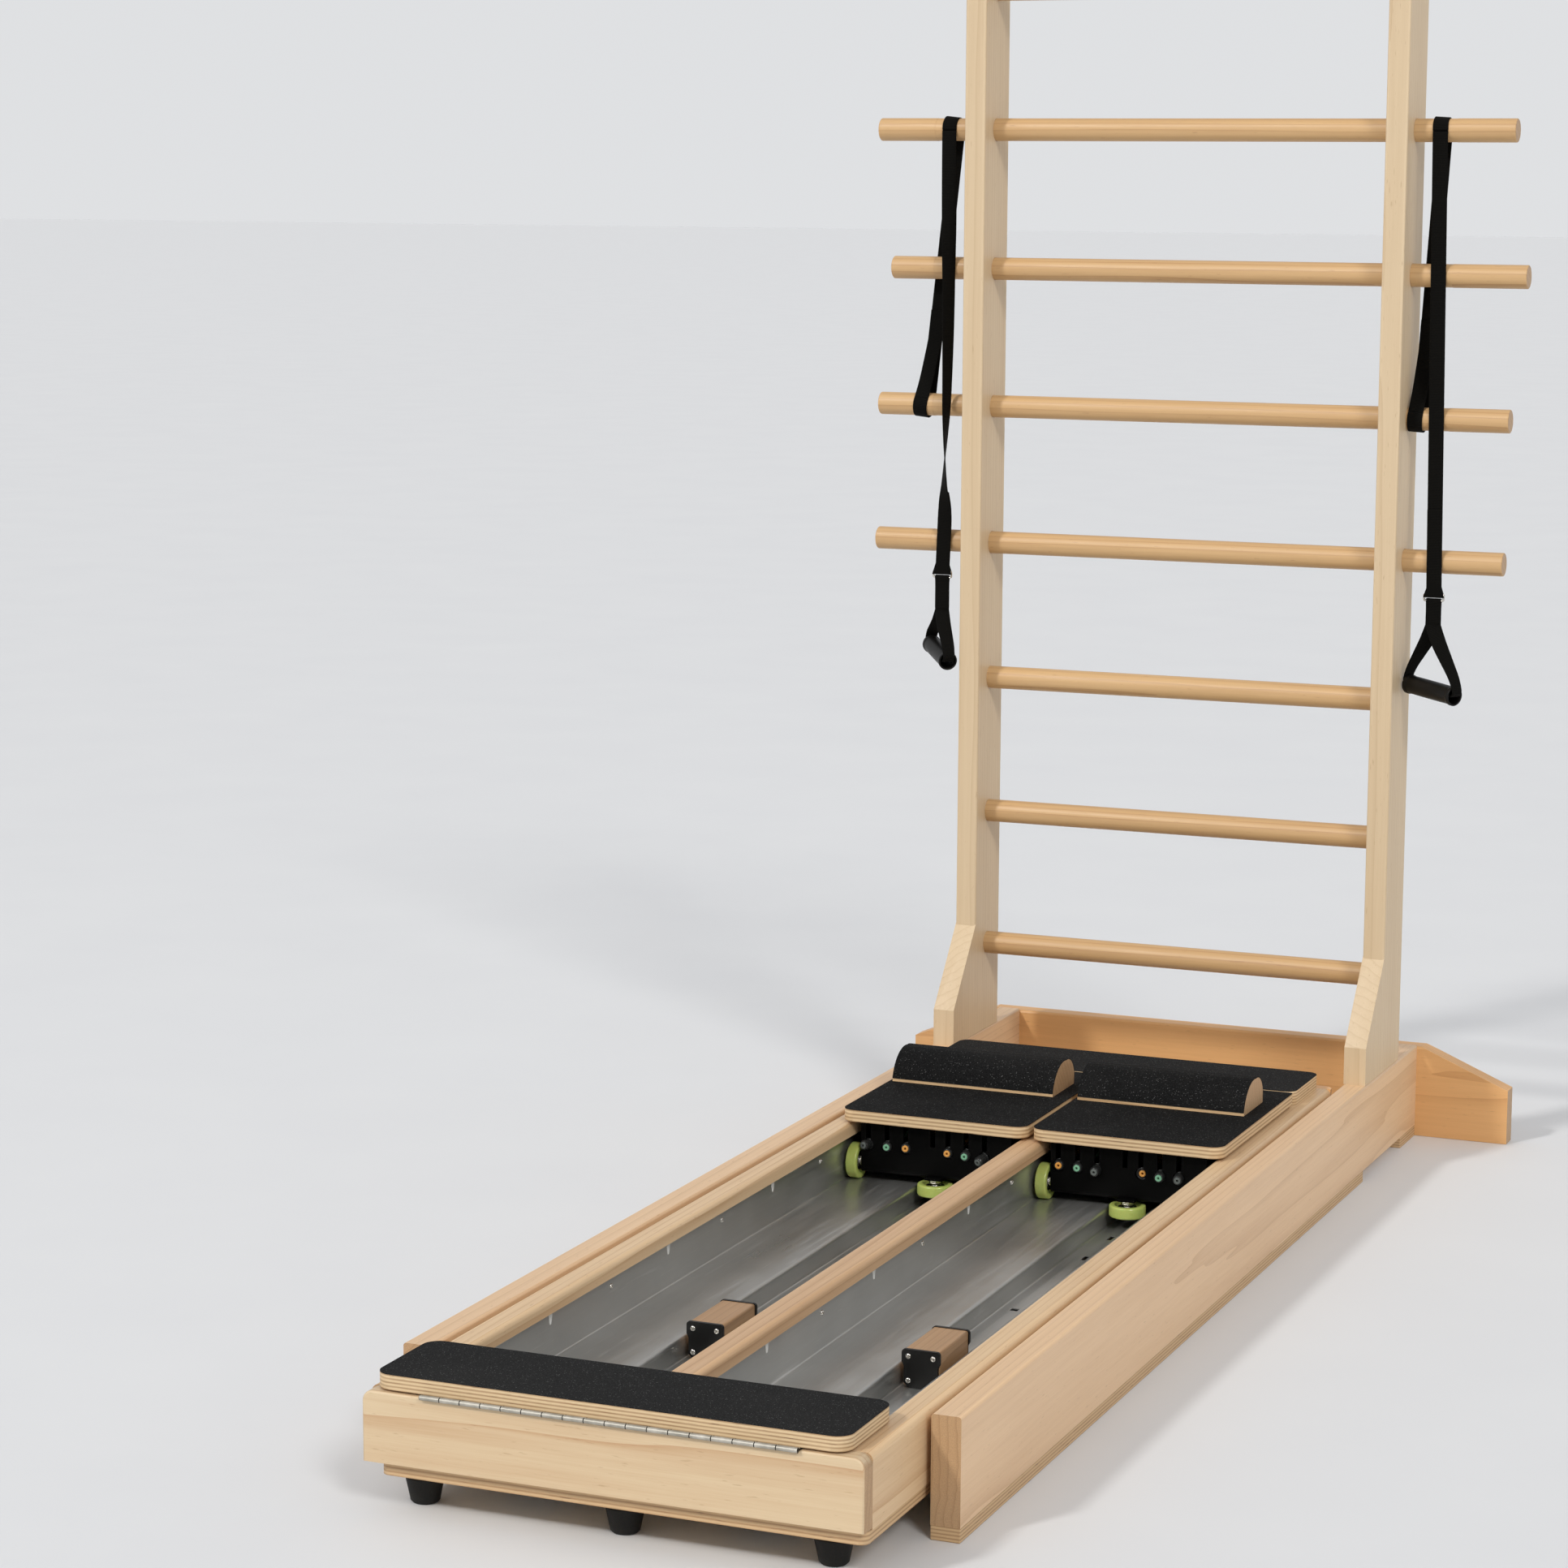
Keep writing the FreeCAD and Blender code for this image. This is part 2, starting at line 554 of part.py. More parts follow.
def chassis(lane):
    """Folded plate box under the platform, with keyholes, bearing holes and guide studs."""
    shell = box(lane - CHASSIS_HALF, lane + CHASSIS_HALF, CHASSIS_FRONT, CHASSIS_REAR, CHASSIS_Z, PLATFORM_Z)
    shell = rounded(shell, 5.0, X_AXIS, lambda c: c.z < CHASSIS_Z + 1)
    hollow = box(lane - CHASSIS_HALF + PLATE_T, lane + CHASSIS_HALF - PLATE_T, CHASSIS_FRONT + PLATE_T,
                 CHASSIS_REAR - PLATE_T, CHASSIS_Z + PLATE_T, PLATFORM_Z + 1)
    shell = shell.cut(hollow)
    for x in KEYHOLE_X:
        for y in (CHASSIS_FRONT, CHASSIS_REAR - PLATE_T):
            centre = V(lane + x, y - 1, TUBE_Z)
            shell = shell.cut(rod(KEYHOLE_R, centre, V(lane + x, y + PLATE_T + 1, TUBE_Z)))
            shell = shell.cut(box(lane + x - 4, lane + x + 4, y - 1, y + PLATE_T + 1, TUBE_Z, PLATFORM_Z + 1))
    middle = box(lane - 9, lane - 1, CHASSIS_FRONT - 1, CHASSIS_FRONT + PLATE_T + 1,
                 TUBE_Z + 7, PLATFORM_Z + 1)
    shell = shell.cut(middle)
    axle_z = FLOOR_Z + WHEEL_R + WHEEL_GAP
    for y in AXLE_Y:
        shell = shell.cut(rod(AXLE_R + RUN_CLEARANCE, V(lane - 150, y, axle_z), V(lane + 150, y, axle_z)))
    parts = [shell]
    for y, outward in zip(GUIDE_Y, (-1, 1)):
        tongue = box(lane - 14, lane + 14, min(y, y + 12 * outward), max(y, y + 12 * outward),
                     CHASSIS_Z, CHASSIS_Z + PLATE_T)
        stud = rod(AXLE_R, V(lane, y, GUIDE_Z - 3), V(lane, y, CHASSIS_Z + 1))
        spacer = rod(8.0, V(lane, y, GUIDE_Z + WHEEL_W + WHEEL_GAP), V(lane, y, CHASSIS_Z + 1))
        head = rod(7.0, V(lane, y, GUIDE_Z - 6), V(lane, y, GUIDE_Z - WHEEL_GAP))
        parts += [tongue, stud, spacer, head]
    return fused(parts)


def tyre_rounded(wheel):
    rims = [edge for edge in wheel.Edges
            if isinstance(edge.Curve, Part.Circle) and abs(edge.Curve.Radius - WHEEL_R) < 0.01]
    return wheel.makeFillet(3.0, rims)


def load_wheel_pair(lane, y):
    z = FLOOR_Z + WHEEL_R + WHEEL_GAP
    pieces = []
    for side in (-1, 1):
        outer = V(lane + side * WHEEL_OUT, y, z)
        inner = V(lane + side * (WHEEL_OUT - WHEEL_W), y, z)
        wheel = rod(WHEEL_R, inner, outer)
        pieces.append(tyre_rounded(wheel))
    axle = rod(AXLE_R, V(lane - WHEEL_OUT - 1.5, y, z), V(lane + WHEEL_OUT + 1.5, y, z))
    return fused([axle] + pieces)


def guide_wheel(lane, y):
    wheel = rod(WHEEL_R, V(lane, y, GUIDE_Z), V(lane, y, GUIDE_Z + WHEEL_W))
    wheel = tyre_rounded(wheel)
    return wheel.cut(rod(AXLE_R + RUN_CLEARANCE, V(lane, y, GUIDE_Z - 1), V(lane, y, GUIDE_Z + WHEEL_W + 1)))


def tube_plugs(lane):
    """Hard end plugs that sit in the keyholes, each with a collar behind the plate."""
    plugs = []
    for x in KEYHOLE_X:
        nose = rod(PLUG_R, V(lane + x, CHASSIS_FRONT - 6, TUBE_Z), V(lane + x, CHASSIS_FRONT + 14, TUBE_Z))
        collar = rod(PLUG_R + 3.5, V(lane + x, CHASSIS_FRONT + PLATE_T, TUBE_Z),
                     V(lane + x, CHASSIS_FRONT + PLATE_T + 4, TUBE_Z))
        bore = rod(TUBE_R, V(lane + x, CHASSIS_FRONT - 7, TUBE_Z), V(lane + x, CHASSIS_FRONT + 15, TUBE_Z))
        collar = collar.common(box(lane - CHASSIS_HALF + PLATE_T + 0.4, lane + CHASSIS_HALF - PLATE_T - 0.4,
                                   CHASSIS_FRONT, CHASSIS_FRONT + 20, TUBE_Z - 20, TUBE_Z + 20))
        plugs.append(nose.fuse(collar).cut(bore))
    return plugs


def elastic_tubes(lane):
    start = CHASSIS_FRONT - 7
    return [tube(TUBE_R, TUBE_BORE_R, V(lane + x, start, TUBE_Z), V(lane + x, TUBE_ANCHOR_Y, TUBE_Z))
            for x in KEYHOLE_X]


# ---- lane stops ---------------------------------------------------------------------------
def stop_block(lane):
    block = box(lane - STOP_WAIST_HALF - 1, lane + STOP_WAIST_HALF + 1, STOP_FRONT + STOP_PLATE_T,
                STOP_FRONT + STOP_LENGTH - STOP_PLATE_T, STOP_BOTTOM + 2, STOP_TOP - 1)
    return rounded(block, 3.0, Y_AXIS, lambda c: c.z > STOP_TOP - 2)


def stop_plate(lane, y):
    """End plate: wide at the top, a narrower waist in the groove, chamfered at the bottom."""
    waist_z = STOP_TOP - 17
    chamfer = 7.0
    outline = [
        V(lane - STOP_HALF, y, STOP_TOP),
        V(lane + STOP_HALF, y, STOP_TOP),
        V(lane + STOP_HALF, y, waist_z),
        V(lane + STOP_WAIST_HALF, y, waist_z - 6),
        V(lane + STOP_WAIST_HALF, y, STOP_BOTTOM + chamfer),
        V(lane + STOP_WAIST_HALF - chamfer, y, STOP_BOTTOM),
        V(lane - STOP_WAIST_HALF + chamfer, y, STOP_BOTTOM),
        V(lane - STOP_WAIST_HALF, y, STOP_BOTTOM + chamfer),
        V(lane - STOP_WAIST_HALF, y, waist_z - 6),
        V(lane - STOP_HALF, y, waist_z),
    ]
    plate = prism(outline, V(0, STOP_PLATE_T, 0))
    return rounded(plate, 5.0, Y_AXIS, lambda c: c.z > STOP_TOP - 1)


def stop_screws(lane):
    """Eight round heads, four on each end plate."""
    heads = []
    rear_face = STOP_FRONT + STOP_LENGTH
    for x in (lane - 17.5, lane + 17.5):
        for z in (STOP_TOP - 9.5, STOP_BOTTOM + 10):
            for y, outward in ((STOP_FRONT, -1), (rear_face, 1)):
                ball = Part.makeSphere(3.8, V(x, y, z))
                half = box(x - 5, x + 5, min(y, y + 2 * outward), max(y, y + 2 * outward), z - 5, z + 5)
                heads.append(ball.common(half))
    return heads


# ---- hanging straps -----------------------------------------------------------------------
def slanted_slab(x_low, z_low, x_high, z_high):
    """A slab one webbing wide whose middle leans from x_low at z_low to x_high at z_high."""
    slope = (x_high - x_low) / (z_high - z_low)
    low = z_low - 60
    high = z_high + 60
    x0 = x_low + slope * (low - z_low)
    x1 = x_low + slope * (high - z_low)
    half = WEB_W / 2
    outline = [
        V(x0 - half, -60, low), V(x0 + half, -60, low),
        V(x1 + half, -60, high), V(x1 - half, -60, high),
    ]
    return prism(outline, V(0, 120, 0))


def flat_box(y0, y1, z0, z1):
    return box(-600, 600, y0, y1, z0, z1)


def strap_anchor(side):
    """Sewn loop round the third long rung, then up behind the second and over the first."""
    top_z = rung_z(0)
    loop_z = rung_z(2)
    sewn_low = loop_z + 112
    sewn_high = loop_z + 157
    outer = WRAP_R + WEB_T
    mid = WRAP_R + WEB_T / 2
    over = tube(outer, WRAP_R, V(-600, 0, top_z), V(600, 0, top_z))
    over = over.common(flat_box(-30, 30, top_z, top_z + 40))
    run = flat_box(WRAP_R, outer, loop_z, top_z)
    sewn = flat_box(WRAP_R - WEB_T, WRAP_R, sewn_low, sewn_high)
    # The front layer leaves the rung on a tangent and meets the rear run where it is sewn.
    target_y = WRAP_R - WEB_T / 2
    rise = sewn_low - loop_z
    reach = math.hypot(target_y, rise)
    heading = math.atan2(rise, target_y)
    lean = math.acos(mid / reach)
    touch = heading + lean
    start = V(0, mid * math.cos(touch), loop_z + mid * math.sin(touch))
    end = V(0, target_y, sewn_low)
    direction = end.sub(start).normalize()
    normal = V(0, -direction.z, direction.y) * (WEB_T / 2)
    front = [start.sub(normal), start.add(normal), end.add(normal), end.sub(normal)]
    layer = prism([point.add(V(-600, 0, 0)) for point in front], V(1200, 0, 0))
    ring = tube(outer, WRAP_R, V(-600, 0, loop_z), V(600, 0, loop_z))
    lower = ring.common(flat_box(-30, 30, loop_z - 40, loop_z))
    wedge = [V(-600, 0, loop_z), V(-600, -60, loop_z), V(-600, -60, loop_z + start.z - loop_z),
             V(-600, 3 * start.y, loop_z + 3 * (start.z - loop_z))]
    upper = ring.common(prism(wedge, V(1200, 0, 0)))
    whole = fused([over, run, sewn, layer, lower, upper])
    return whole.common(slanted_slab(STRAP_LOOP_X[side], loop_z, STRAP_TOP_X[side], top_z))


PIVOT_Z = TOP_LONG_RUNG_Z - WEB_T / 2 - 0.3
LEG_Y = -WRAP_R - WEB_T / 2


def strap_leg(side):
    """Free webbing from the first long rung down to the ring, doubled near its end."""
    back = -WRAP_R
    front = back - WEB_T
    strip = flat_box(front, back, KEEPER_TOP_Z - 2, PIVOT_Z)
    tip = rod(WEB_T / 2, V(-600, LEG_Y, PIVOT_Z), V(600, LEG_Y, PIVOT_Z))
    double = flat_box(front - WEB_T, front, KEEPER_TOP_Z - 2, LEG_DOUBLE_Z)
    web = fused([strip, tip, double])
    web = web.common(slanted_slab(LEG_LOW_X[side], RING_BAR_Z, LEG_TOP_X[side], TOP_LONG_RUNG_Z))
    middle = LEG_LOW_X[side]
    low = RING_BAR_Z + 4.5
    outline = [
        V(middle - 18, LEG_Y - 3.5, low),
        V(middle + 18, LEG_Y - 3.5, low),
        V(middle + 12.5, LEG_Y - 3.5, KEEPER_TOP_Z + 2),
        V(middle - 12.5, LEG_Y - 3.5, KEEPER_TOP_Z + 2),
    ]
    keeper = prism(outline, V(0, 6.0, 0))
    whole = fused([web, keeper])
    bar_z = RING_BAR_Z + 10
    whole = whole.cut(rod(RING_BAR_R, V(middle - 16, LEG_Y, bar_z), V(middle + 16, LEG_Y, bar_z)))
    for x in (middle - 16, middle + 16):
        whole = whole.cut(rod(RING_BAR_R, V(x, LEG_Y, RING_BAR_Z), V(x, LEG_Y, bar_z)))
        whole = whole.cut(Part.makeSphere(RING_BAR_R, V(x, LEG_Y, bar_z)))
    return whole


def strap_ring(side):
    """Rectangular wire ring: its upper bar sits in the keeper, its lower bar carries the sling."""
    middle = LEG_LOW_X[side]
    corners = [
        V(middle - 16, LEG_Y, RING_BAR_Z), V(middle + 16, LEG_Y, RING_BAR_Z),
        V(middle + 16, LEG_Y, RING_BAR_Z + 10), V(middle - 16, LEG_Y, RING_BAR_Z + 10),
    ]
    wires = [rod(RING_BAR_R, corners[i], corners[(i + 1) % 4]) for i in range(4)]
    balls = [Part.makeSphere(RING_BAR_R, corner) for corner in corners]
    return fused(wires + balls)


def sling_band(points, half_width):
    """Closed outline in the grip's own plane: u runs along the grip, v across it."""
    return prism([V(u, -half_width, z) for u, z in points], V(0, 2 * half_width, 0))


def strap_sling(side):
    """Forked webbing: a fold round the ring bar, two legs, and a run through the grip."""
    middle = LEG_LOW_X[side]
    grip_z = GRIP_Z[side]
    fold_r = RING_BAR_R + RUN_CLEARANCE
    eye = rod(fold_r + WEB_T, V(middle - 12.5, LEG_Y, RING_BAR_Z), V(middle + 12.5, LEG_Y, RING_BAR_Z))
    stem = box(middle - 12.5, middle + 12.5, LEG_Y - WEB_T, LEG_Y + WEB_T, FORK_Z, RING_BAR_Z - 2)
    head = fused([eye, stem])
    head = head.cut(rod(fold_r, V(middle - 14, LEG_Y, RING_BAR_Z), V(middle + 14, LEG_Y, RING_BAR_Z)))
    shift = (middle - GRIP_X[side]) / math.cos(math.radians(GRIP_TURN[side]))
    tilt = math.radians(GRIP_TILT[side])

    def tilted(u, w):
        return (u * math.cos(tilt) + w * math.sin(tilt), grip_z - u * math.sin(tilt) + w * math.cos(tilt))

    end = GRIP_LENGTH / 2 + 1.0
    shoulder = GRIP_R + 5.0
    thick = 3.0
    outer = [tilted(-end - thick, -thick / 2), tilted(end + thick, -thick / 2), tilted(end + thick, shoulder),
             (shift + 4, FORK_Z + 4), (shift - 4, FORK_Z + 4), tilted(-end - thick, shoulder)]
    inner = [tilted(-end, thick / 2), tilted(end, thick / 2), tilted(end, shoulder - 1),
             (shift, FORK_Z - 5), tilted(-end, shoulder - 1)]
    loop = sling_band(outer, 10.0).cut(sling_band(inner, 11.0))
    loop.rotate(V(0, 0, 0), Z_AXIS, -GRIP_TURN[side])
    loop.translate(V(GRIP_X[side], LEG_Y, 0))
    return fused([head, loop])


def strap_grip(side):
    """Hard tube that turns on the webbing inside it, with a thicker rim at each end."""
    half = GRIP_LENGTH / 2
    body = rod(GRIP_R - 1.0, V(-half, 0, 0), V(half, 0, 0))
    for sign in (-1, 1):
        body = body.fuse(rod(GRIP_R, V(sign * half, 0, 0), V(sign * (half - 7), 0, 0)))
    grip = body.cut(rod(GRIP_BORE, V(-half - 1, 0, 0), V(half + 1, 0, 0)))
    grip.rotate(V(0, 0, 0), Y_AXIS, GRIP_TILT[side])
    grip.rotate(V(0, 0, 0), Z_AXIS, -GRIP_TURN[side])
    return moved(grip, GRIP_X[side], LEG_Y, GRIP_Z[side])


# ---- export -------------------------------------------------------------------------------
save("upright_right", upright())
save("upright_left", mirrored(upright()))
save("rungs_long", *[long_rung(step) for step in range(len(LONG_RUNG_OFFSETS))])
save("rungs_short", *[short_rung(step) for step in SHORT_RUNG_STEPS])
save("base_rail_right", base_rail())
save("base_rail_left", mirrored(base_rail()))
save("base_runners", base_runner(), mirrored(base_runner()), foot_block(), mirrored(foot_block()))
save("base_cross_board", cross_board())

save("bed_front_board", bed_front_board())
save("bed_rear_board", bed_rear_board())
save("bed_side_rail_right", bed_side_rail())
save("bed_side_rail_left", mirrored(bed_side_rail()))
save("bed_centre_rail", bed_centre_rail())
save("bed_bottom_panel", bed_bottom_panel())
save("track_left", *track(-LANE_X))
save("track_right", *track(LANE_X))
WALLS = [(lane + sign * LANE_HALF, -sign) for lane in (-LANE_X, LANE_X) for sign in (-1, 1)]
SCREW_ROWS = [SCREW_FIRST + WALL_PITCH * index for index in range(WALL_ROWS)]
save("track_screws", *[track_screw(x, y, inward) for x, inward in WALLS for y in SCREW_ROWS])
save("bed_feet", *[bed_foot(x, y) for y in FOOT_ROWS for x in FOOT_COLUMNS])
save("rear_deck", rear_deck())
save("rear_deck_grip", rear_deck_grip())
save("tube_anchor", tube_anchor(-LANE_X), tube_anchor(LANE_X))

save("hinge_fixed_leaf", hinge_leaf(0, HINGE_Z - 0.1 - LEAF_T), hinge_pin())
save("hinge_lid_leaf", hinge_leaf(1, HINGE_Z + 0.1))
save("step_lid", step_lid(LID_Z, LID_Z + LID_T))
save("step_lid_grip", step_lid(LID_Z + LID_T, LID_Z + LID_T + GRIP_T))

for cart, lane in (("left", -LANE_X), ("right", LANE_X)):
    save("cart_" + cart + "_platform", platform(lane, PLATFORM_Z, DECK_TOP))
    save("cart_" + cart + "_grip", platform(lane, DECK_TOP, DECK_TOP + GRIP_T), foot_bar_grip(lane))
    save("cart_" + cart + "_foot_bar", foot_bar_section(lane, GRIP_T))
    save("cart_" + cart + "_chassis", chassis(lane))
    save("cart_" + cart + "_wheels_front", load_wheel_pair(lane, AXLE_Y[0]))
    save("cart_" + cart + "_wheels_rear", load_wheel_pair(lane, AXLE_Y[1]))
    save("cart_" + cart + "_guide_front", guide_wheel(lane, GUIDE_Y[0]))
    save("cart_" + cart + "_guide_rear", guide_wheel(lane, GUIDE_Y[1]))
    save("cart_" + cart + "_tube_plugs", *tube_plugs(lane))
    save("cart_" + cart + "_tubes", *elastic_tubes(lane))
    save("stop_" + cart + "_block", stop_block(lane))
    save("stop_" + cart + "_plates", stop_plate(lane, STOP_FRONT),
         stop_plate(lane, STOP_FRONT + STOP_LENGTH - STOP_PLATE_T))
    save("stop_" + cart + "_screws", *stop_screws(lane))

save("strap_anchors", strap_anchor(0), strap_anchor(1))
for side, hand in enumerate(("left", "right")):
    save("strap_" + hand + "_leg", strap_leg(side))
    save("strap_" + hand + "_ring", strap_ring(side))
    save("strap_" + hand + "_sling", strap_sling(side))
    save("strap_" + hand + "_grip", strap_grip(side))
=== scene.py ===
"""Looks for the ladder stand with its two-lane sliding-cart bed. Metres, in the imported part's frame."""

import math
import random

import bmesh
import bpy
from mathutils import Euler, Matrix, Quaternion, Vector


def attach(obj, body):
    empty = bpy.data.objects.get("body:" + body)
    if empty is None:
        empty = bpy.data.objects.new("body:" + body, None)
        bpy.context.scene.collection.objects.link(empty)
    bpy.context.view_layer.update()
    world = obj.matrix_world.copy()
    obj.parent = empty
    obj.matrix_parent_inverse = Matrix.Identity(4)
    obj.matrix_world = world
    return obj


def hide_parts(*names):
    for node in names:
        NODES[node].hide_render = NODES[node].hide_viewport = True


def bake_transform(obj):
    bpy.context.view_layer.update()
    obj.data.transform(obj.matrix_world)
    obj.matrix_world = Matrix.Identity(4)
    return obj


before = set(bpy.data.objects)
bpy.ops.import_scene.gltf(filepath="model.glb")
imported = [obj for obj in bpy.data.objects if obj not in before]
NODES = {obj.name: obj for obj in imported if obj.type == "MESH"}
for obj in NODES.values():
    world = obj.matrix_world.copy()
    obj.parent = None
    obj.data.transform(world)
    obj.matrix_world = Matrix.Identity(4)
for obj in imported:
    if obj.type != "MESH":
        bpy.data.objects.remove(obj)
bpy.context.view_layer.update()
MM = 0.001
SHIFT_X = -9.5
SHIFT_Y = 1013.7
KNUCKLE_L = 0.0276
LANES = (("left", -156.0), ("right", 156.0))
X, Y, Z = Vector((1, 0, 0)), Vector((0, 1, 0)), Vector((0, 0, 1))


def at(x, y, z):
    """A point given in millimetres about the middle of the ladder, in the part's frame."""
    return Vector(((x + SHIFT_X) * MM, (y + SHIFT_Y) * MM, z * MM))


# ---- camera -------------------------------------------------------------------------------
CAMERA_AT = (1.9549, -5.3165, 1.6443)
CAMERA_YAW, CAMERA_PITCH, CAMERA_ROLL = (math.radians(a) for a in (22.976, -8.970, 0.250))
lens = bpy.data.cameras.new("camera")
lens.lens = 91.36
lens.sensor_width = 36.0
lens.clip_end = 200.0
camera = bpy.data.objects.new("camera", lens)
camera.location = CAMERA_AT
camera.rotation_mode = "QUATERNION"
camera.rotation_quaternion = (Euler((math.pi / 2 + CAMERA_PITCH, 0, CAMERA_YAW)).to_quaternion()
                              @ Quaternion(Z, CAMERA_ROLL))
bpy.context.scene.collection.objects.link(camera)
bpy.context.scene.camera = camera
bpy.context.scene.view_settings.view_transform = "Standard"


# ---- materials ----------------------------------------------------------------------------
def rgb(r, g, b):
    """An sRGB colour in 0 to 255 as linear values."""
    values = [c / 255 / 12.92 if c <= 10 else ((c / 255 + 0.055) / 1.055) ** 2.4 for c in (r, g, b)]
    return tuple(values) + (1.0,)


class Paint:
    """A material whose node tree is built call by call."""

    def __init__(self, name, **fixed):
        self.material = bpy.data.materials.new(name)
        self.material.use_nodes = True
        self.tree = self.material.node_tree
        self.shader = self.tree.nodes["Principled BSDF"]
        self.give(self.shader, {key.replace("_", " "): value for key, value in fixed.items()})

    def give(self, node, inputs):
        for key, value in inputs.items():
            socket = node.inputs[key]
            if isinstance(value, bpy.types.NodeSocket):
                self.tree.links.new(value, socket)
            elif value is not None:
                socket.default_value = value

    def add(self, kind, inputs, **settings):
        node = self.tree.nodes.new("ShaderNode" + kind)
        for key, value in settings.items():
            setattr(node, key, value)
        self.give(node, inputs)
        return node

    def coords(self, which="Object"):
        return self.add("TexCoord", {}).outputs[which]

    def mapped(self, vector, scale=(1, 1, 1), shift=(0, 0, 0)):
        return self.add("Mapping", {"Vector": vector, "Scale": scale, "Location": shift}).outputs[0]

    def noise(self, vector, scale, detail=2.0, rough=0.5, warp=0.0):
        inputs = {"Vector": vector, "Scale": scale, "Detail": detail, "Roughness": rough, "Distortion": warp}
        return self.add("TexNoise", inputs).outputs["Fac"]

    def math(self, op, a, b=None, c=None):
        return self.add("Math", {0: a, 1: b, 2: c}, operation=op).outputs[0]

    def span(self, value, low, high, out_low=0.0, out_high=1.0):
        inputs = {"Value": value, "From Min": low, "From Max": high, "To Min": out_low, "To Max": out_high}
        return self.add("MapRange", inputs).outputs[0]

    def mix(self, fac, a, b):
        node = self.add("Mix", {}, data_type="RGBA")
        self.give(node, {0: fac, 6: a, 7: b})
        return node.outputs[2]

    def axis(self, vector, index):
        return self.add("SeparateXYZ", {0: vector}).outputs[index]

    def bump(self, height, strength, distance):
        node = self.add("Bump", {"Height": height, "Strength": strength, "Distance": distance})
        self.give(self.shader, {"Normal": node.outputs[0]})

    def colour(self, value):
        self.give(self.shader, {"Base Color": value})

    def rough(self, value):
        self.give(self.shader, {"Roughness": value})


def stretched(axis, factor):
    """Scale factors that draw a pattern out along one axis."""
    return tuple(factor if index == axis else 1.0 for index in range(3))


def wood(name, axis, seed, light=(222, 197, 160), dark=(184, 149, 108), end=(188, 152, 112), contrast=1.0):
    """Lacquered maple: growth rings about a distant pith, fine fibres along the grain, small flecks."""
    p = Paint(name, Coat_Weight=0.10, Coat_Roughness=0.35)
    place = p.coords()
    pick = random.Random(seed)
    pith = [pick.uniform(-0.10, 0.10) + (0.07 if pick.random() < 0.5 else -0.07) for _ in range(3)]
    pith[axis] = pick.uniform(0, 3)
    grown = p.mapped(place, stretched(axis, 0.055), pith)
    rings = p.add("TexWave", {"Vector": grown, "Scale": 30.0, "Distortion": 9.0, "Detail": 3.0,
                              "Detail Scale": 0.35, "Detail Roughness": 0.55},
                  wave_type="RINGS", rings_direction="XYZ"[axis], wave_profile="SAW").outputs["Fac"]
    late = p.math("POWER", rings, 6.0)
    broad = p.noise(p.mapped(place, stretched(axis, 0.10), pith), 11.0, 2.0, 0.5, 0.4)
    fibre = p.noise(p.mapped(place, stretched(axis, 0.02), pith), 520.0, 3.0, 0.6)
    streak = p.noise(p.mapped(place, stretched(axis, 0.025), pith), 120.0, 2.0, 0.55)
    mixed = p.math("MULTIPLY", late, 0.62 * contrast)
    mixed = p.math("MULTIPLY_ADD", p.span(broad, 0.35, 0.65), 0.20 * contrast, mixed)
    mixed = p.math("MULTIPLY_ADD", p.span(streak, 0.38, 0.66), 0.17 * contrast, mixed)
    mixed = p.math("MULTIPLY_ADD", p.span(fibre, 0.35, 0.7), 0.14 * contrast, mixed)
    tone = p.mix(mixed, rgb(*light), rgb(*dark))
    fleck = p.noise(p.mapped(place, stretched(axis, 0.12), pith), 420.0, 1.0, 0.4)
    tone = p.mix(p.span(fleck, 0.70, 0.80, 0.0, 0.35), tone, rgb(150, 110, 72))
    facing = p.math("ABSOLUTE", p.axis(p.coords("Normal"), axis))
    pores = p.noise(place, 900.0, 2.0, 0.6)
    cut = p.mix(p.span(pores, 0.35, 0.65, 0.0, 0.6), rgb(*end), rgb(*(int(c * 0.82) for c in end)))
    cut = p.mix(p.math("MULTIPLY", late, 0.5), cut, rgb(138, 100, 64))
    tone = p.mix(p.span(facing, 0.75, 0.95), tone, cut)
    p.colour(tone)
    p.rough(p.span(fibre, 0.2, 0.8, 0.40, 0.56))
    p.bump(p.math("MULTIPLY_ADD", fleck, 0.4, fibre), 0.10, 0.0004)
    return p.material


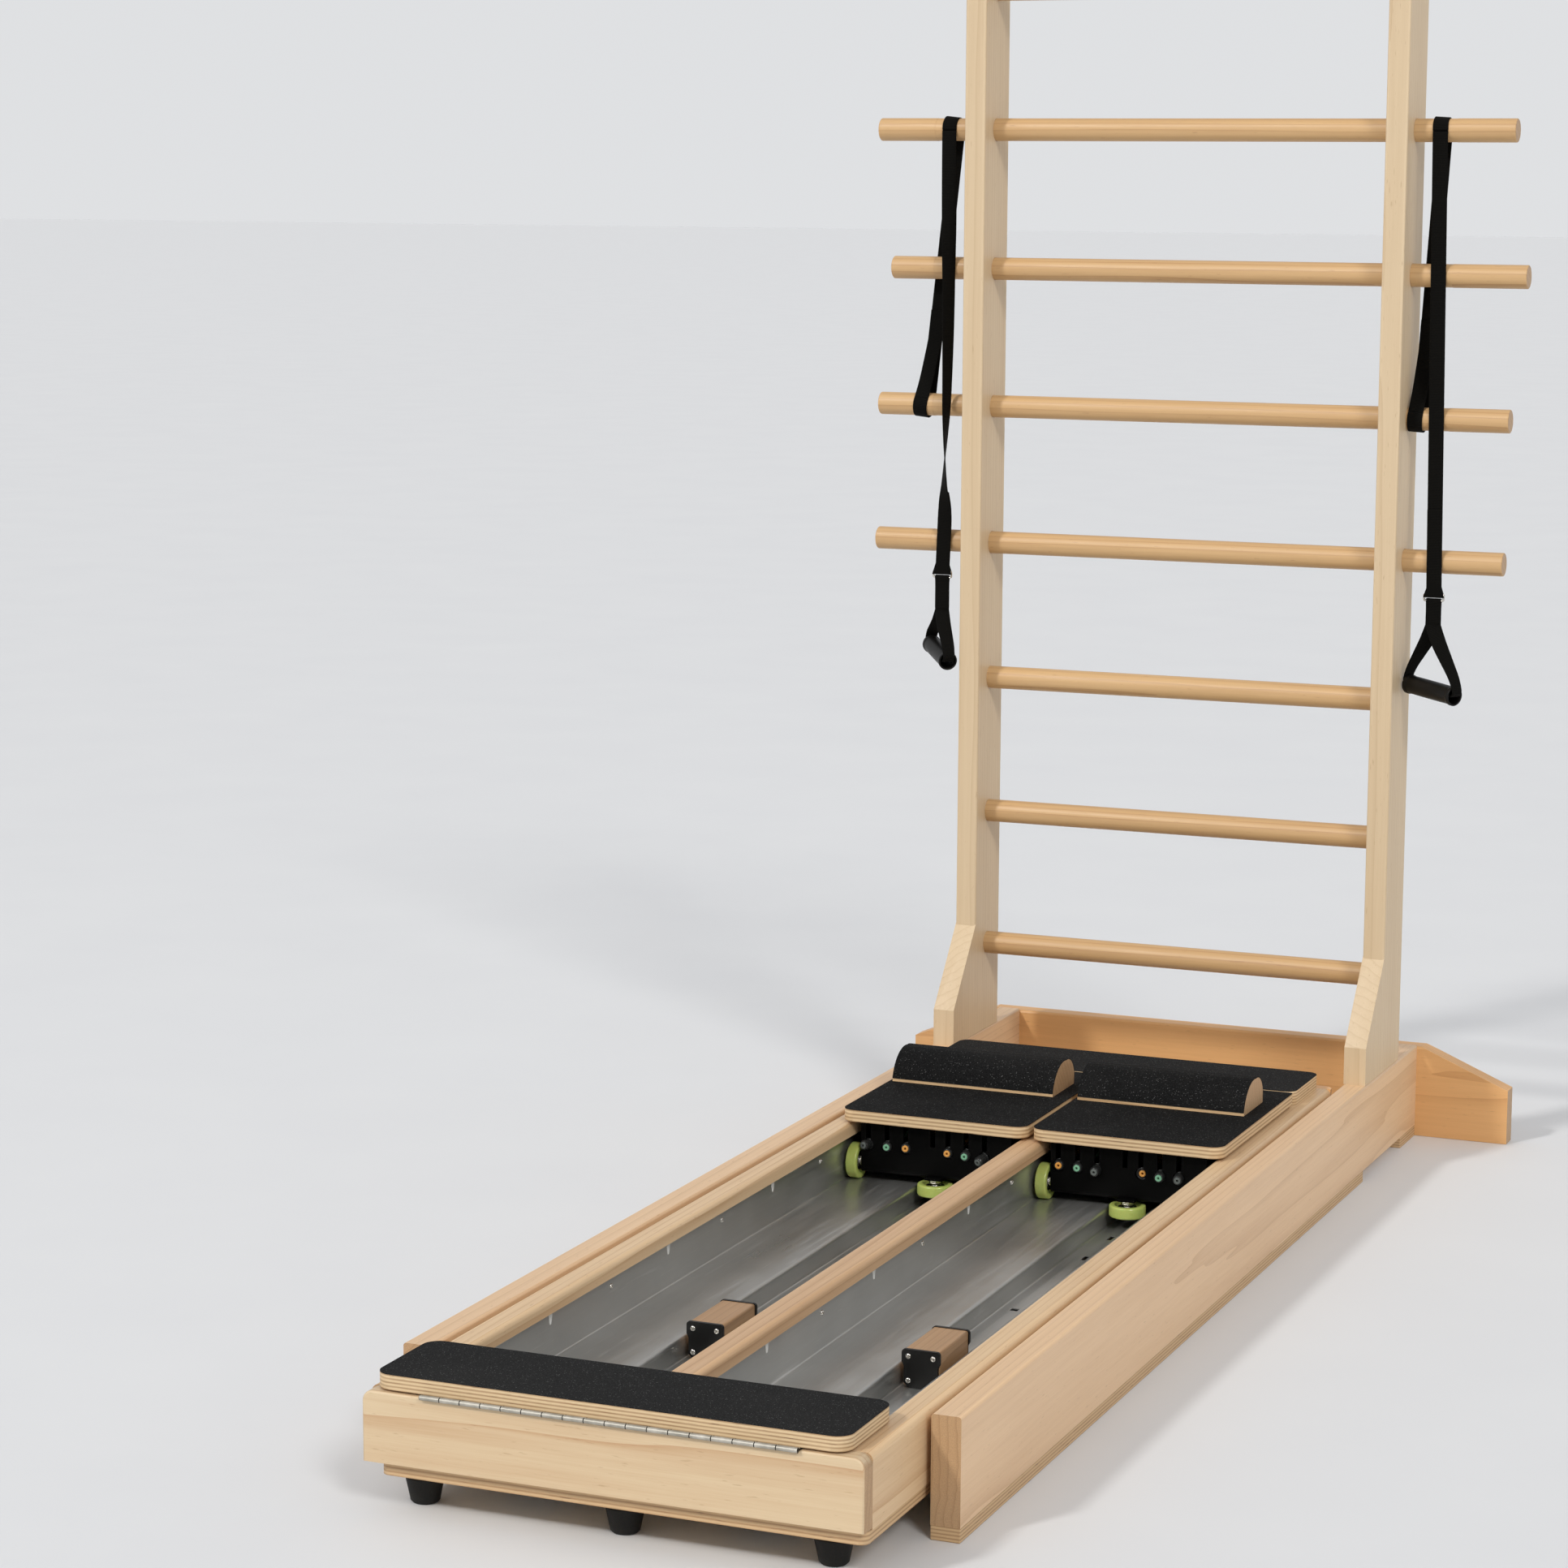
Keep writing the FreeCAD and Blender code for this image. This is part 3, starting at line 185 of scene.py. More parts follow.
def plywood(name, bottom, period, light=(216, 190, 150), dark=(140, 104, 68)):
    """Plies stacked along Z from the given height: pale layers between brown ones."""
    p = Paint(name, Coat_Weight=0.05)
    place = p.coords()
    wobble = p.noise(p.mapped(place, (6.0, 6.0, 1.0)), 1.0, 2.0)
    height = p.math("SUBTRACT", p.axis(place, 2), bottom)
    height = p.math("MULTIPLY_ADD", p.span(wobble, 0.3, 0.7, -1.0, 1.0), 0.0002, height)
    wave = p.math("COSINE", p.math("MULTIPLY", height, 2 * math.pi / period))
    edge = p.math("POWER", p.span(wave, -1.0, 1.0), 1.6)
    grain = p.noise(p.mapped(place, (1.0, 1.0, 14.0)), 160.0, 3.0, 0.65)
    patch = p.noise(p.mapped(place, (1.0, 1.0, 40.0)), 26.0, 2.0, 0.6)
    depth = p.math("MULTIPLY", edge, p.span(patch, 0.25, 0.75, 0.45, 1.0))
    tone = p.mix(depth, rgb(*light), rgb(*dark))
    tone = p.mix(p.span(grain, 0.45, 0.75, 0.0, 0.35), tone, rgb(176, 142, 102))
    gap = p.math("MULTIPLY", edge, p.span(p.noise(p.mapped(place, (1, 1, 30)), 34.0, 1.0), 0.68, 0.73))
    tone = p.mix(gap, tone, rgb(84, 56, 38))
    flat = p.math("ABSOLUTE", p.axis(p.coords("Normal"), 2))
    face = p.noise(p.mapped(place, (0.03, 1.0, 1.0)), 240.0, 3.0, 0.6)
    veneer = p.mix(face, rgb(218, 188, 146), rgb(196, 162, 118))
    p.colour(p.mix(p.span(flat, 0.75, 0.95), tone, veneer))
    p.rough(p.span(grain, 0.3, 0.7, 0.5, 0.68))
    p.bump(p.math("SUBTRACT", grain, depth), 0.2, 0.0003)
    return p.material


def grit(name, base=(22, 22, 22)):
    """Coarse black abrasive sheet with faint wear and a few painted glints: bright specks that stand for
    grains catching the light.
    """
    p = Paint(name, Specular_IOR_Level=0.08)
    place = p.coords()
    grain = p.noise(place, 560.0, 3.0, 0.7)
    cells = p.add("TexVoronoi", {"Vector": place, "Scale": 1000.0}).outputs["Color"]
    # Painted glint: a few cells lightened towards pale grey as sparkle highlights on the grains, not as
    # grains of another colour.
    painted_glint = p.span(p.axis(cells, 0), 0.970, 0.990)
    worn = p.noise(place, 7.0, 3.0, 0.6)
    tone = p.mix(p.span(grain, 0.35, 0.7), rgb(*base), rgb(*(c + 20 for c in base)))
    tone = p.mix(p.span(worn, 0.45, 0.8, 0.0, 0.2), tone, rgb(52, 51, 50))
    p.colour(p.mix(p.math("MULTIPLY", painted_glint, 0.35), tone, rgb(138, 138, 136)))
    p.rough(p.span(grain, 0.3, 0.7, 0.95, 0.75))
    p.bump(grain, 0.4, 0.0005)
    return p.material


def sheet_metal(name):
    """Bare rolled sheet, scratched along the lane."""
    p = Paint(name, Metallic=0.86)
    place = p.coords()
    long_marks = p.noise(p.mapped(place, (1.0, 0.012, 1.0)), 700.0, 3.0, 0.6)
    scuffs = p.noise(p.mapped(place, (1.0, 0.06, 1.0)), 60.0, 3.0, 0.65, 0.6)
    cloud = p.noise(place, 5.0, 3.0, 0.5)
    tone = p.mix(p.span(cloud, 0.3, 0.7), rgb(180, 180, 177), rgb(198, 198, 195))
    tone = p.mix(p.span(scuffs, 0.62, 0.70, 0.0, 0.35), tone, rgb(222, 222, 220))
    tone = p.mix(p.span(long_marks, 0.66, 0.72, 0.0, 0.4), tone, rgb(228, 228, 226))
    p.colour(tone)
    worn = p.math("ADD", p.span(cloud, 0.3, 0.7, 0.26, 0.36), p.span(scuffs, 0.4, 0.7, 0.0, 0.14))
    p.rough(worn)
    p.bump(long_marks, 0.08, 0.0002)
    return p.material


def plain(name, tone, worn, rough=(0.35, 0.5), metallic=0.0, scale=120.0, strength=0.12, **fixed):
    """A moulded, painted or turned surface: fine mottling, uneven gloss and a slight bump."""
    p = Paint(name, Metallic=metallic, **fixed)
    place = p.coords()
    fine = p.noise(place, scale * 6, 2.0, 0.6)
    cloud = p.noise(place, scale * 0.25, 3.0, 0.55)
    mixed = p.math("MULTIPLY_ADD", p.span(fine, 0.4, 0.75), 0.35, p.span(cloud, 0.35, 0.8, 0.0, 0.6))
    p.colour(p.mix(mixed, rgb(*tone), rgb(*worn)))
    p.rough(p.span(cloud, 0.3, 0.7, rough[0], rough[1]))
    p.bump(fine, strength, 0.0003)
    return p.material


def hinge_steel(name):
    """Worn steel strip, dark where two knuckles meet."""
    p = Paint(name, Metallic=0.6)
    place = p.coords()
    cloud = p.noise(place, 60.0, 3.0, 0.6)
    tone = p.mix(p.span(cloud, 0.35, 0.7), rgb(158, 154, 143), rgb(196, 192, 182))
    knuckles = p.math("MULTIPLY_ADD", p.axis(place, 0), 1 / KNUCKLE_L, -SHIFT_X * MM / KNUCKLE_L)
    joint = p.math("COMPARE", p.math("FRACT", p.math("ADD", knuckles, 0.5)), 0.5, 0.022)
    p.colour(p.mix(joint, tone, rgb(52, 49, 44)))
    p.rough(p.span(cloud, 0.3, 0.7, 0.42, 0.58))
    p.bump(p.noise(place, 900.0, 2.0), 0.08, 0.0003)
    return p.material


def webbing(name):
    """Black nylon webbing from UVs in metres: cross ribs between two plain selvedges."""
    p = Paint(name, Sheen_Weight=0.02, Sheen_Roughness=0.4, Specular_IOR_Level=0.04)
    uv = p.coords("UV")
    across = p.axis(uv, 0)
    along = p.axis(uv, 1)
    rib = p.math("SINE", p.math("MULTIPLY", along, 2 * math.pi / 0.0019))
    warp = p.math("SINE", p.math("MULTIPLY", across, 2 * math.pi / 0.0016))
    weave = p.math("MULTIPLY_ADD", warp, 0.35, rib)
    fuzz = p.noise(uv, 1600.0, 2.0, 0.6)
    tone = p.mix(p.span(weave, -1.2, 1.2), rgb(6, 6, 5), rgb(19, 18, 16))
    p.colour(p.mix(p.span(fuzz, 0.5, 0.8, 0.0, 0.3), tone, rgb(40, 38, 34)))
    p.rough(p.span(fuzz, 0.3, 0.7, 0.6, 0.8))
    p.bump(p.math("MULTIPLY_ADD", fuzz, 0.3, weave), 0.5, 0.0003)
    return p.material


STEEL = plain("bright_steel", (196, 192, 184), (226, 224, 220), (0.18, 0.32), 1.0, 200.0, 0.05)
BLACK = plain("black_paint", (5, 5, 5), (10, 10, 9), (0.3, 0.45), 0.0, 60.0, 0.10, Specular_IOR_Level=0.05)
DARK_PLASTIC = plain("dark_plastic", (13, 13, 13), (24, 23, 22), (0.3, 0.45), 0.0, 90.0,
                     Specular_IOR_Level=0.25)
PLUG = plain("plug_plastic", (30, 31, 31), (50, 51, 50), (0.20, 0.34), 0.0, 90.0)
RUBBER = plain("foot_rubber", (19, 19, 18), (38, 36, 33), (0.5, 0.7), 0.0, 80.0, 0.25,
               Specular_IOR_Level=0.25)
LIME = plain("lime_urethane", (170, 184, 92), (186, 196, 112), (0.28, 0.42), 0.0, 60.0, 0.06,
             Subsurface_Weight=0.15, Subsurface_Scale=0.004, Coat_Weight=0.2)
GRIP_PLASTIC = plain("grip_plastic", (11, 10, 9), (22, 20, 18), (0.34, 0.48), 0.0, 70.0, 0.06,
                     Specular_IOR_Level=0.2)
# Near-white plate colour: painted light for the key slots in the lane walls.
SLOT_PAINTED_LIGHT = plain("slot_painted_light", (226, 226, 222), (240, 240, 238), (0.35, 0.5), 0.0, 150.0)
HINGE = hinge_steel("hinge_steel")
WEB = webbing("webbing")
TUBES = {
    "black": plain("tube_black", (78, 84, 82), (104, 110, 106), (0.4, 0.55), 0.0, 150.0),
    "green": plain("tube_green", (104, 158, 126), (132, 182, 150), (0.35, 0.5), 0.0, 150.0),
    "orange": plain("tube_orange", (200, 138, 58), (220, 162, 84), (0.35, 0.5), 0.0, 150.0),
}
METAL = sheet_metal("lane_sheet")


# ---- mesh helpers -------------------------------------------------------------------------
def piece(name, mesh, material, body, slot, *nodes):
    """A finished mesh as a piece that rides on a body and stands for the given CAD nodes."""
    if isinstance(mesh, bmesh.types.BMesh):
        made = bpy.data.meshes.new(name)
        bmesh.ops.recalc_face_normals(mesh, faces=mesh.faces)
        mesh.to_mesh(made)
        mesh.free()
        mesh = made
    mesh.materials.append(material)
    obj = bpy.data.objects.new(name, mesh)
    bpy.context.scene.collection.objects.link(obj)
    if body:
        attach(obj, body)
    if nodes:
        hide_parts(*nodes)
    return obj


def smooth(obj, angle=0.6):
    """Smooth shading that keeps edges sharper than the angle."""
    mesh = obj.data
    bm = bmesh.new()
    bm.from_mesh(mesh)
    for edge in bm.edges:
        edge.smooth = edge.is_manifold and edge.calc_face_angle(0.0) < angle
    for face in bm.faces:
        face.smooth = True
    bm.to_mesh(mesh)
    bm.free()
    return obj


def revolved(bm, profile, origin, axis, steps):
    """Turn a closed profile of (radius, height) about an axis through origin."""
    axis = axis.normalized()
    side = axis.orthogonal().normalized()
    other = axis.cross(side)
    rings = []
    for k in range(steps):
        turn = 2 * math.pi * k / steps
        out = side * math.cos(turn) + other * math.sin(turn)
        rings.append([bm.verts.new(origin + out * r + axis * h) for r, h in profile])
    count = len(profile)
    for k in range(steps):
        a, b = rings[k], rings[(k + 1) % steps]
        for i in range(count):
            j = (i + 1) % count
            bm.faces.new((a[i], a[j], b[j], b[i]))


def rounded_profile(points, radius, steps=3):
    """Closed profile with each corner replaced by a short arc; a corner may give its own radius."""
    result = []
    count = len(points)
    for i, point in enumerate(points):
        here = Vector(point[:2])
        size = point[2] if len(point) > 2 else radius
        before = Vector(points[i - 1][:2]) - here
        after = Vector(points[(i + 1) % count][:2]) - here
        size = min(size, before.length * 0.45, after.length * 0.45)
        if size < 1e-6:
            result.append(tuple(here))
            continue
        a = here + before.normalized() * size
        b = here + after.normalized() * size
        for k in range(steps + 1):
            t = k / steps
            result.append(tuple(a * (1 - t) ** 2 + here * 2 * t * (1 - t) + b * t * t))
    return result


def prism(bm, outline, origin, u, v, depth, bevel=0.0, segments=2):
    """Extrude an outline of (u, v) points along a depth vector and round its edges."""
    low = [bm.verts.new(origin + u * a + v * b) for a, b in outline]
    high = [bm.verts.new(vert.co + depth) for vert in low]
    count = len(low)
    faces = [bm.faces.new(low), bm.faces.new(list(reversed(high)))]
    for i in range(count):
        j = (i + 1) % count
        faces.append(bm.faces.new((low[j], low[i], high[i], high[j])))
    if bevel:
        edges = {edge for face in faces for edge in face.edges
                 if edge.calc_face_angle(0.0) > 0.5}
        bmesh.ops.bevel(bm, geom=list(edges), offset=bevel, segments=segments, profile=0.6, affect="EDGES")


def polygon(radius, sides, turn=0.0):
    """Corners of a regular polygon."""
    angles = [2 * math.pi * k / sides + turn for k in range(sides)]
    return [(radius * math.cos(a), radius * math.sin(a)) for a in angles]


def curve_through(points, steps):
    """Catmull-Rom line through the given vectors, each span cut into the given number of steps."""
    line = []
    last = len(points) - 1
    for i in range(last):
        p0 = points[max(i - 1, 0)]
        p1, p2 = points[i], points[i + 1]
        p3 = points[min(i + 2, last)]
        for k in range(steps):
            t = k / steps
            line.append(0.5 * (2 * p1 + (p2 - p0) * t + (2 * p0 - 5 * p1 + 4 * p2 - p3) * t * t
                               + (3 * p1 - p0 - 3 * p2 + p3) * t ** 3))
    line.append(points[-1].copy())
    return line


def ribbon(bm, path, sides, widths, thick, closed=False):
    """Webbing along a path: side vectors give its width direction, and the edges are rounded."""
    uv = bm.loops.layers.uv.verify()
    count = len(path)
    rings = []
    marks = []
    run = 0.0
    for i in range(count):
        before = path[i - 1] if (i or closed) else path[i]
        after = path[(i + 1) % count] if (i < count - 1 or closed) else path[i]
        tangent = (after - before).normalized()
        side = (sides[i] - tangent * sides[i].dot(tangent)).normalized()
        normal = tangent.cross(side)
        half = widths[i] / 2
        t = thick / 2
        section = [(-half, 0.0), (-half + t * 0.5, -t * 0.85), (-half + t * 1.3, -t), (-half * 0.34, -t),
                   (half * 0.34, -t), (half - t * 1.3, -t), (half - t * 0.5, -t * 0.85), (half, 0.0),
                   (half - t * 0.5, t * 0.85), (half - t * 1.3, t), (half * 0.34, t), (-half * 0.34, t),
                   (-half + t * 1.3, t), (-half + t * 0.5, t * 0.85)]
        rings.append([bm.verts.new(path[i] + side * a + normal * b) for a, b in section])
        if i:
            run += (path[i] - path[i - 1]).length
        marks.append((run, [a for a, _ in section]))
    size = len(rings[0])
    spans = count if closed else count - 1
    for i in range(spans):
        j = (i + 1) % count
        end = marks[j][0] if j else run + (path[0] - path[-1]).length
        for k in range(size):
            m = (k + 1) % size
            face = bm.faces.new((rings[i][k], rings[i][m], rings[j][m], rings[j][k]))
            face.smooth = True
            spots = ((marks[i][1][k], marks[i][0]), (marks[i][1][m], marks[i][0]),
                     (marks[j][1][m], end), (marks[j][1][k], end))
            for loop, spot in zip(face.loops, spots):
                loop[uv].uv = spot
    if not closed:
        bm.faces.new(list(reversed(rings[0])))
        bm.faces.new(rings[-1])


def wire(bm, path, radius, closed=False, steps=14):
    """Round bar along a path."""
    count = len(path)
    rings = []
    side = None
    for i in range(count):
        before = path[i - 1] if (i or closed) else path[i]
        after = path[(i + 1) % count] if (i < count - 1 or closed) else path[i]
        tangent = (after - before).normalized()
        side = side - tangent * side.dot(tangent) if side else tangent.orthogonal()
        side.normalize()
        other = tangent.cross(side)
        rings.append([bm.verts.new(path[i] + (side * math.cos(a) + other * math.sin(a)) * radius)
                      for a in (2 * math.pi * k / steps for k in range(steps))])
    for i in range(count if closed else count - 1):
        a, b = rings[i], rings[(i + 1) % count]
        for k in range(steps):
            m = (k + 1) % steps
            bm.faces.new((a[k], a[m], b[m], b[k])).smooth = True
    if not closed:
        bm.faces.new(list(reversed(rings[0])))
        bm.faces.new(rings[-1])


# ---- CAD nodes that stay: material and softened edges --------------------------------------
def dress(name, material, bevel=0.0, segments=2):
    """Give a CAD node its material and, where asked, small rounded edges."""
    obj = NODES[name]
    obj.data.materials.clear()
    obj.data.materials.append(material)
    if bevel:
        weld = obj.modifiers.new("weld", "WELD")
        weld.merge_threshold = 1e-6
        soft = obj.modifiers.new("soft_edges", "BEVEL")
        soft.width = bevel
        soft.segments = segments
        soft.limit_method = "ANGLE"
        soft.angle_limit = 0.6
        soft.harden_normals = True


POST_TONES = {"light": (210, 187, 153), "dark": (176, 145, 107), "contrast": 0.5}
dress("upright_left", wood("maple_upright_left", 2, 11, **POST_TONES), 0.0012)
dress("upright_right", wood("maple_upright_right", 2, 12, **POST_TONES), 0.0012)
RUNG_TONES = {"light": (207, 170, 121), "dark": (168, 126, 82), "contrast": 0.8}
dress("rungs_long", wood("maple_rungs_long", 0, 13, **RUNG_TONES))
dress("rungs_short", wood("maple_rungs_short", 0, 14, **RUNG_TONES))
WARM = {"light": (226, 192, 153), "dark": (188, 148, 108), "contrast": 0.65}
TAN = {"light": (226, 176, 118), "dark": (192, 140, 86), "contrast": 0.8}
dress("base_rail_left", wood("maple_rail_left", 1, 15, **WARM), 0.0012)
dress("base_rail_right", wood("maple_rail_right", 1, 16, **WARM), 0.0012)
dress("base_cross_board", wood("maple_cross", 0, 17, **TAN), 0.0015)
dress("base_runners", plywood("ply_runners", 0.0, 0.0046, (204, 172, 130), (146, 108, 70)), 0.0010)
dress("bed_front_board", wood("maple_front_board", 0, 18, (213, 191, 156), (184, 144, 104)), 0.0012)
dress("bed_rear_board", wood("maple_rear_board", 0, 19, **TAN), 0.0012)
dress("bed_side_rail_left", wood("maple_bed_left", 1, 20, (222, 192, 152), (188, 148, 106)), 0.0010)
dress("bed_side_rail_right", wood("maple_bed_right", 1, 21, (222, 192, 152), (188, 148, 106)), 0.0010)
dress("bed_centre_rail", wood("maple_centre", 1, 22, (208, 172, 132), (168, 126, 88)), 0.0010)
dress("bed_bottom_panel", plywood("ply_bottom", 0.049, 0.0053, (206, 174, 132), (150, 112, 74)), 0.0008)
dress("track_left", METAL)
dress("track_right", METAL)
dress("bed_feet", RUBBER, 0.0008)
dress("rear_deck", plywood("ply_deck", 0.158, 0.0047), 0.0010)
dress("rear_deck_grip", grit("grit_deck"), 0.0003, 1)
dress("tube_anchor", BLACK, 0.0010)
dress("hinge_fixed_leaf", HINGE)
dress("hinge_lid_leaf", HINGE)
dress("step_lid", plywood("ply_lid", 0.1606, 0.0047), 0.0010)
dress("step_lid_grip", grit("grit_lid", (24, 24, 24)), 0.0003, 1)
PLATFORM_PLY = plywood("ply_platform", 0.1625, 0.0058)
CART_GRIT = grit("grit_cart", (11, 11, 11))
for hand, lane in LANES:
    seed = 30 if hand == "left" else 40
    dress("cart_%s_platform" % hand, PLATFORM_PLY, 0.0008)
    dress("cart_%s_grip" % hand, CART_GRIT, 0.0003, 1)
    bar_wood = wood("maple_foot_bar_" + hand, 0, seed, (216, 182, 138), (182, 144, 100))
    dress("cart_%s_foot_bar" % hand, bar_wood)
    dress("cart_%s_chassis" % hand, BLACK)
    stop_wood = wood("maple_stop_" + hand, 1, seed + 1, (178, 141, 104), (146, 112, 78))
    dress("stop_%s_block" % hand, stop_wood, 0.001)
    dress("stop_%s_plates" % hand, DARK_PLASTIC, 0.0005)


# ---- screws -------------------------------------------------------------------------------
def pan_screw(bm, centre, outward, radius, height, steps=40):
    """Domed head as a height field with a cross recess, closed on its flat side."""
    outward = outward.normalized()
    side = outward.orthogonal().normalized()
    other = outward.cross(side)
    turn = random.Random(int(centre.y * 1e4) + int(centre.z * 1e3)).uniform(0, math.pi / 2)
    radii = [0.0, 0.1, 0.17, 0.24, 0.31, 0.38, 0.45, 0.55, 0.68, 0.8, 0.9, 0.97, 1.0]
    rings = []
    for share in radii:
        ring = []
        for k in range(steps if share else 1):
            angle = 2 * math.pi * k / steps
            u, w = share * math.cos(angle), share * math.sin(angle)
            rise = height * math.sqrt(max(0.0, 1 - share ** 2.6)) if share < 1 else 0.0
            a = abs(u * math.cos(turn) + w * math.sin(turn))
            b = abs(-u * math.sin(turn) + w * math.cos(turn))
            across = max(0.0, min(1.0, (0.145 - min(a, b)) / 0.06))
            along = max(0.0, min(1.0, (0.58 - max(a, b)) / 0.1))
            rise -= across * along * height * 0.55
            ring.append(bm.verts.new(centre + (side * u + other * w) * radius + outward * rise))
        rings.append(ring)
    for k in range(steps):
        bm.faces.new((rings[0][0], rings[1][k], rings[1][(k + 1) % steps]))
    for a, b in zip(rings[1:], rings[2:]):
        for k in range(steps):
            m = (k + 1) % steps
            bm.faces.new((a[k], b[k], b[m], a[m]))
    bm.faces.new(list(reversed(rings[-1])))


WALL_X = 150.0
ROW_PITCH = 374.0
SCREW_Z = 117.0
SCREW_ROWS = [-1947.0 + ROW_PITCH * k for k in range(5)]
SLOT_Z = 127.0
SLOT_ROWS = [-2134.0 + ROW_PITCH * k for k in range(5)]
STOP_SCREW_X = 17.5
STOP_SCREW_ROWS = (79.5, 46.3)
STOP_FRONT_Y, STOP_REAR_Y = -1595.0, -1478.0
bm = bmesh.new()
for _, lane in LANES:
    for sign in (-1, 1):
        for y in SCREW_ROWS:
            pan_screw(bm, at(lane + WALL_X * sign, y, SCREW_Z), X * -sign, 0.0042, 0.0022)
smooth(piece("track_screw_heads", bm, STEEL, "root", "bright_steel", "track_screws"))
# Pale plates set in the key slots of the lane walls; their near-white colour is painted light where the
# slots show bright.
bm = bmesh.new()
for _, lane in LANES:
    for sign in (-1, 1):
        for y in SLOT_ROWS:
            centre = at(lane + (WALL_X + 0.3) * sign, y, SLOT_Z)
            turns = [math.radians(degrees) for degrees in range(-30, 211, 20)]
            arc = [(0.0056 * math.cos(a), 0.0044 * math.sin(a)) for a in turns]
            outline = arc + [(-0.0020, -0.0128), (0.0020, -0.0128)]
            prism(bm, outline, centre, Y, Z, X * -sign * 0.0007)
piece("track_slot_painted_light", bm, SLOT_PAINTED_LIGHT, "root", "bright_steel")
for hand, lane in LANES:
    bm = bmesh.new()
    for x in (lane - STOP_SCREW_X, lane + STOP_SCREW_X):
        for z in STOP_SCREW_ROWS:
            pan_screw(bm, at(x, STOP_FRONT_Y, z), -Y, 0.0040, 0.0019)
            pan_screw(bm, at(x, STOP_REAR_Y, z), Y, 0.0040, 0.0019)
    smooth(piece("stop_%s_screw_heads" % hand, bm, STEEL, "stop_" + hand, "bright_steel",
                 "stop_%s_screws" % hand))


# ---- wheels -------------------------------------------------------------------------------
TYRE = rounded_profile([(0.0140, 0.0045), (0.0175, 0.0026), (0.0200, 0.0, 0.0012), (0.0280, 0.0, 0.0034),
                        (0.0280, 0.0180, 0.0034), (0.0200, 0.0180, 0.0012), (0.0175, 0.0154),
                        (0.0140, 0.0135)], 0.0008, 5)
HUB = rounded_profile([(0.0112, 0.0030), (0.0144, 0.0030), (0.0144, 0.0150), (0.0112, 0.0150)], 0.0006, 3)
BEARING = rounded_profile([(0.0042, 0.0022), (0.0060, 0.0022), (0.0062, 0.0034), (0.0092, 0.0034),
                           (0.0094, 0.0024), (0.0111, 0.0024), (0.0111, 0.0156), (0.0094, 0.0156),
                           (0.0092, 0.0146), (0.0062, 0.0146), (0.0060, 0.0158), (0.0042, 0.0158)],
                          0.0003, 2)


def nut(bm, centre, axis, flats, height):
    """Hexagon nut or bolt head with rounded edges, measured across its flats."""
    side = axis.orthogonal().normalized()
    prism(bm, polygon(flats / math.sqrt(3), 6, 0.2), centre, side, axis.cross(side), axis * height,
          0.0005, 2)


def wheel_set(name, body, node, centres, axis, nuts):
    """Tyres, hubs and steel parts of the wheels on one axle."""
    tyres, hubs, steel = bmesh.new(), bmesh.new(), bmesh.new()
    for centre in centres:
        revolved(tyres, TYRE, centre, axis, 72)
        revolved(hubs, HUB, centre, axis, 48)
        revolved(steel, BEARING, centre, axis, 48)
    for spot, way, flats, height in nuts:
        nut(steel, spot, way, flats, height)
    smooth(piece(name + "_tyres", tyres, LIME, body, "lime_wheel", node), 0.9)
    smooth(piece(name + "_hubs", hubs, DARK_PLASTIC, body, "black_rubber"), 0.9)
    return smooth(piece(name + "_steel", steel, STEEL, body, "bright_steel"), 0.5)


AXLE_Z = 94.8
AXLE_ROWS = (("front", -712.0), ("rear", -385.0))
GUIDE_ROWS = (("front", -722.0), ("rear", -369.0))
GUIDE_Z = 56.0
NUT_Z = 74.4
WASHER_T = 1.2
WHEEL_INNER, WHEEL_OUTER = 126.0, 144.0
AXLE_END = 145.2
AXLE_R = 0.0039
AXLE_NUT_FLATS, GUIDE_NUT_FLATS = 0.0125, 0.0168
for hand, lane in LANES:
    for end, y in AXLE_ROWS:
        name = "cart_%s_wheels_%s" % (hand, end)
        centres = [at(lane + WHEEL_INNER, y, AXLE_Z), at(lane - WHEEL_OUTER, y, AXLE_Z)]
        nuts = []
        for sign in (-1, 1):
            outside = at(lane + sign * (WHEEL_OUTER - 2.4), y, AXLE_Z)
            inside = at(lane + sign * (WHEEL_INNER + 2.3), y, AXLE_Z)
            nuts.append((outside, X * sign, AXLE_NUT_FLATS, 0.0036))
            nuts.append((inside, X * -sign, AXLE_NUT_FLATS, 0.0034))
        steel = wheel_set(name, name, name, centres, X, nuts)
        bm = bmesh.new()
        bm.from_mesh(steel.data)
        axle = [at(lane + x, y, AXLE_Z) for x in (-AXLE_END, -20, 20, AXLE_END)]
        wire(bm, axle, AXLE_R, steps=24)
        bm.to_mesh(steel.data)
        bm.free()
        smooth(steel, 0.5)
    for end, y in GUIDE_ROWS:
        name = "cart_%s_guide_%s" % (hand, end)
        wheel_set(name, name, name, [at(lane, y, GUIDE_Z)], Z, [])
    bm = bmesh.new()
    top = WASHER_T * MM
    washer = rounded_profile([(0.0041, 0.0), (0.0098, 0.0), (0.0098, top), (0.0041, top)], 0.0003, 2)
    for _, y in GUIDE_ROWS:
        revolved(bm, washer, at(lane, y, NUT_Z), Z, 36)
        nut(bm, at(lane, y, NUT_Z + WASHER_T), Z, GUIDE_NUT_FLATS, 0.0042)
    smooth(piece("cart_%s_guide_nuts" % hand, bm, STEEL, "cart_" + hand, "bright_steel"), 0.5)


# ---- carts: plugs and elastic tubes --------------------------------------------------------
KEYHOLES = (-112.0, -81.0, -50.0, 20.0, 50.0, 80.0)
